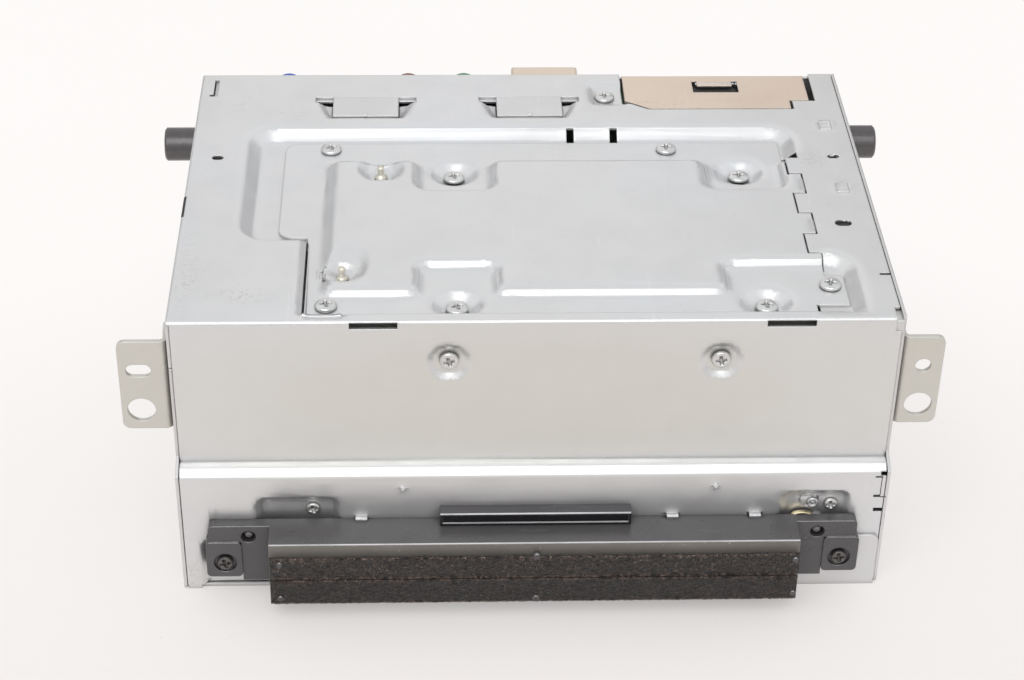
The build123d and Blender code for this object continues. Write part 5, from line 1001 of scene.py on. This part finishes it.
def loose_fibres(low, high, count, seed, vertices, faces):
    """Short hairs that stand out of a lip's face and hang from its edges."""
    maker = random.Random(seed)
    for n in range(count):
        x = maker.uniform(low.x + 0.5, high.x - 0.5)
        heights = (
            low.z + 0.15, high.z - 0.15, maker.uniform(low.z, high.z), maker.uniform(low.z, high.z),
        )
        root_at = Vector((x, low.y + 0.25, maker.choice(heights)))
        turn, curl = maker.uniform(0, 2 * pi), maker.choice((-1, 1)) * maker.uniform(0.5, 1.5)
        half = maker.uniform(0.10, 0.26)
        path = [root_at]
        for part in range(4):
            path.append(path[-1] + Vector((cos(turn), HAIR_REACH[part], sin(turn))) * half)
            turn += curl
        for place in path:
            for axis in range(3):
                place[axis] = max(low[axis] - 0.05, min(high[axis] + 0.25, place[axis]))
        start = len(vertices)
        for part, place in enumerate(path):
            ahead = path[min(part + 1, 4)] - path[max(part - 1, 0)]
            wide = ahead.cross(Vector((0, 1, 0.2))).normalized() * HAIR_WIDTHS[part]
            vertices += [(place - wide) * 0.001, (place + wide) * 0.001]
        faces += [(start + 2 * p, start + 2 * p + 1, start + 2 * p + 3, start + 2 * p + 2) for p in range(4)]


HAIRS_PER_LIP = 4600
CLOTH_SEED = 5
cloth_points, cloth_faces, hair_points, hair_faces = [], [], [], []
# Blender's vector noise starts from the clock, so it is seeded for the same felt in each run
noise.seed_set(CLOTH_SEED)
for lip_node, lip_seed in (("upper_felt", 3), ("lower_felt", 8)):
    lip_box = felt_strip(lip_node, lip_seed, cloth_points, cloth_faces)
    loose_fibres(*lip_box, HAIRS_PER_LIP, lip_seed, hair_points, hair_faces)
slot_felt = add_piece(
    "slot_felt", cloth_points, cloth_faces, felt, "casing", "felt", replaced=("upper_felt", "lower_felt"),
)
fibres = add_piece("slot_felt_fibres", hair_points, hair_faces, felt_hair, "casing", "felt", smooth=False)

floor_z = cad_box[0][2]


def make_floor():
    """Pale paper under the object that curves up far behind it."""
    s = Surface("paper_floor", Roughness=0.75, IOR=1.4)
    s.shader.inputs["Specular IOR Level"].default_value = 0.2
    apart = s.tree.nodes.new("ShaderNodeSeparateXYZ")
    s.give(apart.inputs[0], s.place)
    # Painted light falloff: the paper darker towards the camera and lighter further back
    painted_falloff = s.span(apart.outputs[1], -0.17, 0.25)
    tone = s.mix(painted_falloff, (0.775, 0.725, 0.70), (0.93, 0.91, 0.895))
    tone = s.mix(s.span(s.noise(9.0, 3.0, 0.5), 0.35, 0.7, 0.0, 0.25), tone, (0.86, 0.81, 0.78))
    specks = s.span(s.noise(420.0, 2.0, 0.5), 0.74, 0.78, 0.0, 0.25)
    tone = s.mix(specks, tone, (0.45, 0.42, 0.40))
    # Darker and warmer nearer still to the camera, and darker grey to the sides
    tone = s.mix(s.span(apart.outputs[1], -0.38, -1.0), tone, (0.55, 0.525, 0.455))
    beside = s.math("ABSOLUTE", apart.outputs[0])
    tone = s.mix(s.span(beside, 0.45, 0.9, 0.0, 0.55), tone, (0.30, 0.30, 0.31))
    s.finish(tone, None, s.bump(s.noise(800.0, 4.0, 0.6), 0.00002))
    # Far off, the paper goes over into a plain white glow, painted light, for whatever looks at it
    glow = s.add("ShaderNodeEmission", Color=(1.0, 0.975, 0.96, 1.0), Strength=1.0)
    rays = s.tree.nodes.new("ShaderNodeLightPath")
    looked = s.math("MAXIMUM", rays.outputs["Is Camera Ray"], rays.outputs["Is Glossy Ray"])
    looked = s.math("MAXIMUM", looked, rays.outputs["Is Transmission Ray"])
    share = s.math("MULTIPLY", looked, s.span(apart.outputs[1], -0.13, 0.16, 0.0, 0.85))
    share = s.math("MULTIPLY", share, s.span(beside, 0.9, 0.45))
    both = s.tree.nodes.new("ShaderNodeMixShader")
    s.give(both.inputs[0], share)
    s.give(both.inputs[1], s.shader.outputs[0])
    s.give(both.inputs[2], glow.outputs[0])
    ends = [n for n in s.tree.nodes if n.type == "OUTPUT_MATERIAL"]
    s.give(ends[0].inputs["Surface"], both.outputs[0])
    steps, run, curve, wide = 24, 2.4, 0.9, 3.0
    profile = [(-1.8, floor_z), (run, floor_z)]
    for k in range(1, steps + 1):
        turn = pi / 2 * k / steps
        profile.append((run + curve * sin(turn), floor_z + curve * (1 - cos(turn))))
    profile.append((run + curve, floor_z + 2.2))
    vertices = [(x, y, z) for y, z in profile for x in (-wide, wide)]
    faces = [(2 * k, 2 * k + 1, 2 * k + 3, 2 * k + 2) for k in range(len(profile) - 1)]
    mesh = bpy.data.meshes.new("floor")
    mesh.from_pydata(vertices, [], faces)
    for face in mesh.polygons:
        face.use_smooth = True
    mesh.materials.append(s.material)
    floor = bpy.data.objects.new("floor", mesh)
    bpy.context.scene.collection.objects.link(floor)


make_floor()


def area_lamp(name, place, aim, size, watts, colour):
    """A rectangular lamp that looks at a point."""
    data = bpy.data.lights.new(name, "AREA")
    data.shape = "RECTANGLE"
    data.size, data.size_y = size
    data.energy = watts
    data.color = colour
    lamp = bpy.data.objects.new(name, data)
    lamp.location = place
    lamp.rotation_euler = (Vector(aim) - Vector(place)).to_track_quat("-Z", "Y").to_euler()
    bpy.context.scene.collection.objects.link(lamp)


area_lamp("key", (-0.25, -0.88, 1.32), (0.0, 0.05, 0.0), (1.4, 1.0), 8.0, (1.0, 0.99, 0.975))

# The world: a soft gradient that lights the object, and an even white where the camera sees it

world = bpy.data.worlds.new("studio")
bpy.context.scene.world = world
world.use_nodes = True
tree = world.node_tree
tree.nodes.clear()
out = tree.nodes.new("ShaderNodeOutputWorld")
plain = tree.nodes.new("ShaderNodeBackground")
seen = tree.nodes.new("ShaderNodeBackground")
seen.inputs["Color"].default_value = (0.97, 0.965, 0.96, 1.0)
coordinates = tree.nodes.new("ShaderNodeTexCoord")
parts = tree.nodes.new("ShaderNodeSeparateXYZ")
tree.links.new(coordinates.outputs["Generated"], parts.inputs[0])
ramp = tree.nodes.new("ShaderNodeValToRGB")
ramp.color_ramp.elements[0].position = 0.0
ramp.color_ramp.elements[0].color = (0.60, 0.60, 0.61, 1.0)
ramp.color_ramp.elements[1].position = 0.5
ramp.color_ramp.elements[1].color = (0.985, 0.99, 1.0, 1.0)
zenith = ramp.color_ramp.elements.new(1.0)
zenith.color = (0.76, 0.78, 0.80, 1.0)
tree.links.new(parts.outputs[2], ramp.inputs[0])
tree.links.new(ramp.outputs[0], plain.inputs["Color"])
plain.inputs["Strength"].default_value = 1.04
path = tree.nodes.new("ShaderNodeLightPath")
choose = tree.nodes.new("ShaderNodeMixShader")
tree.links.new(path.outputs["Is Camera Ray"], choose.inputs[0])
tree.links.new(plain.outputs[0], choose.inputs[1])
tree.links.new(seen.outputs[0], choose.inputs[2])
tree.links.new(choose.outputs[0], out.inputs["Surface"])
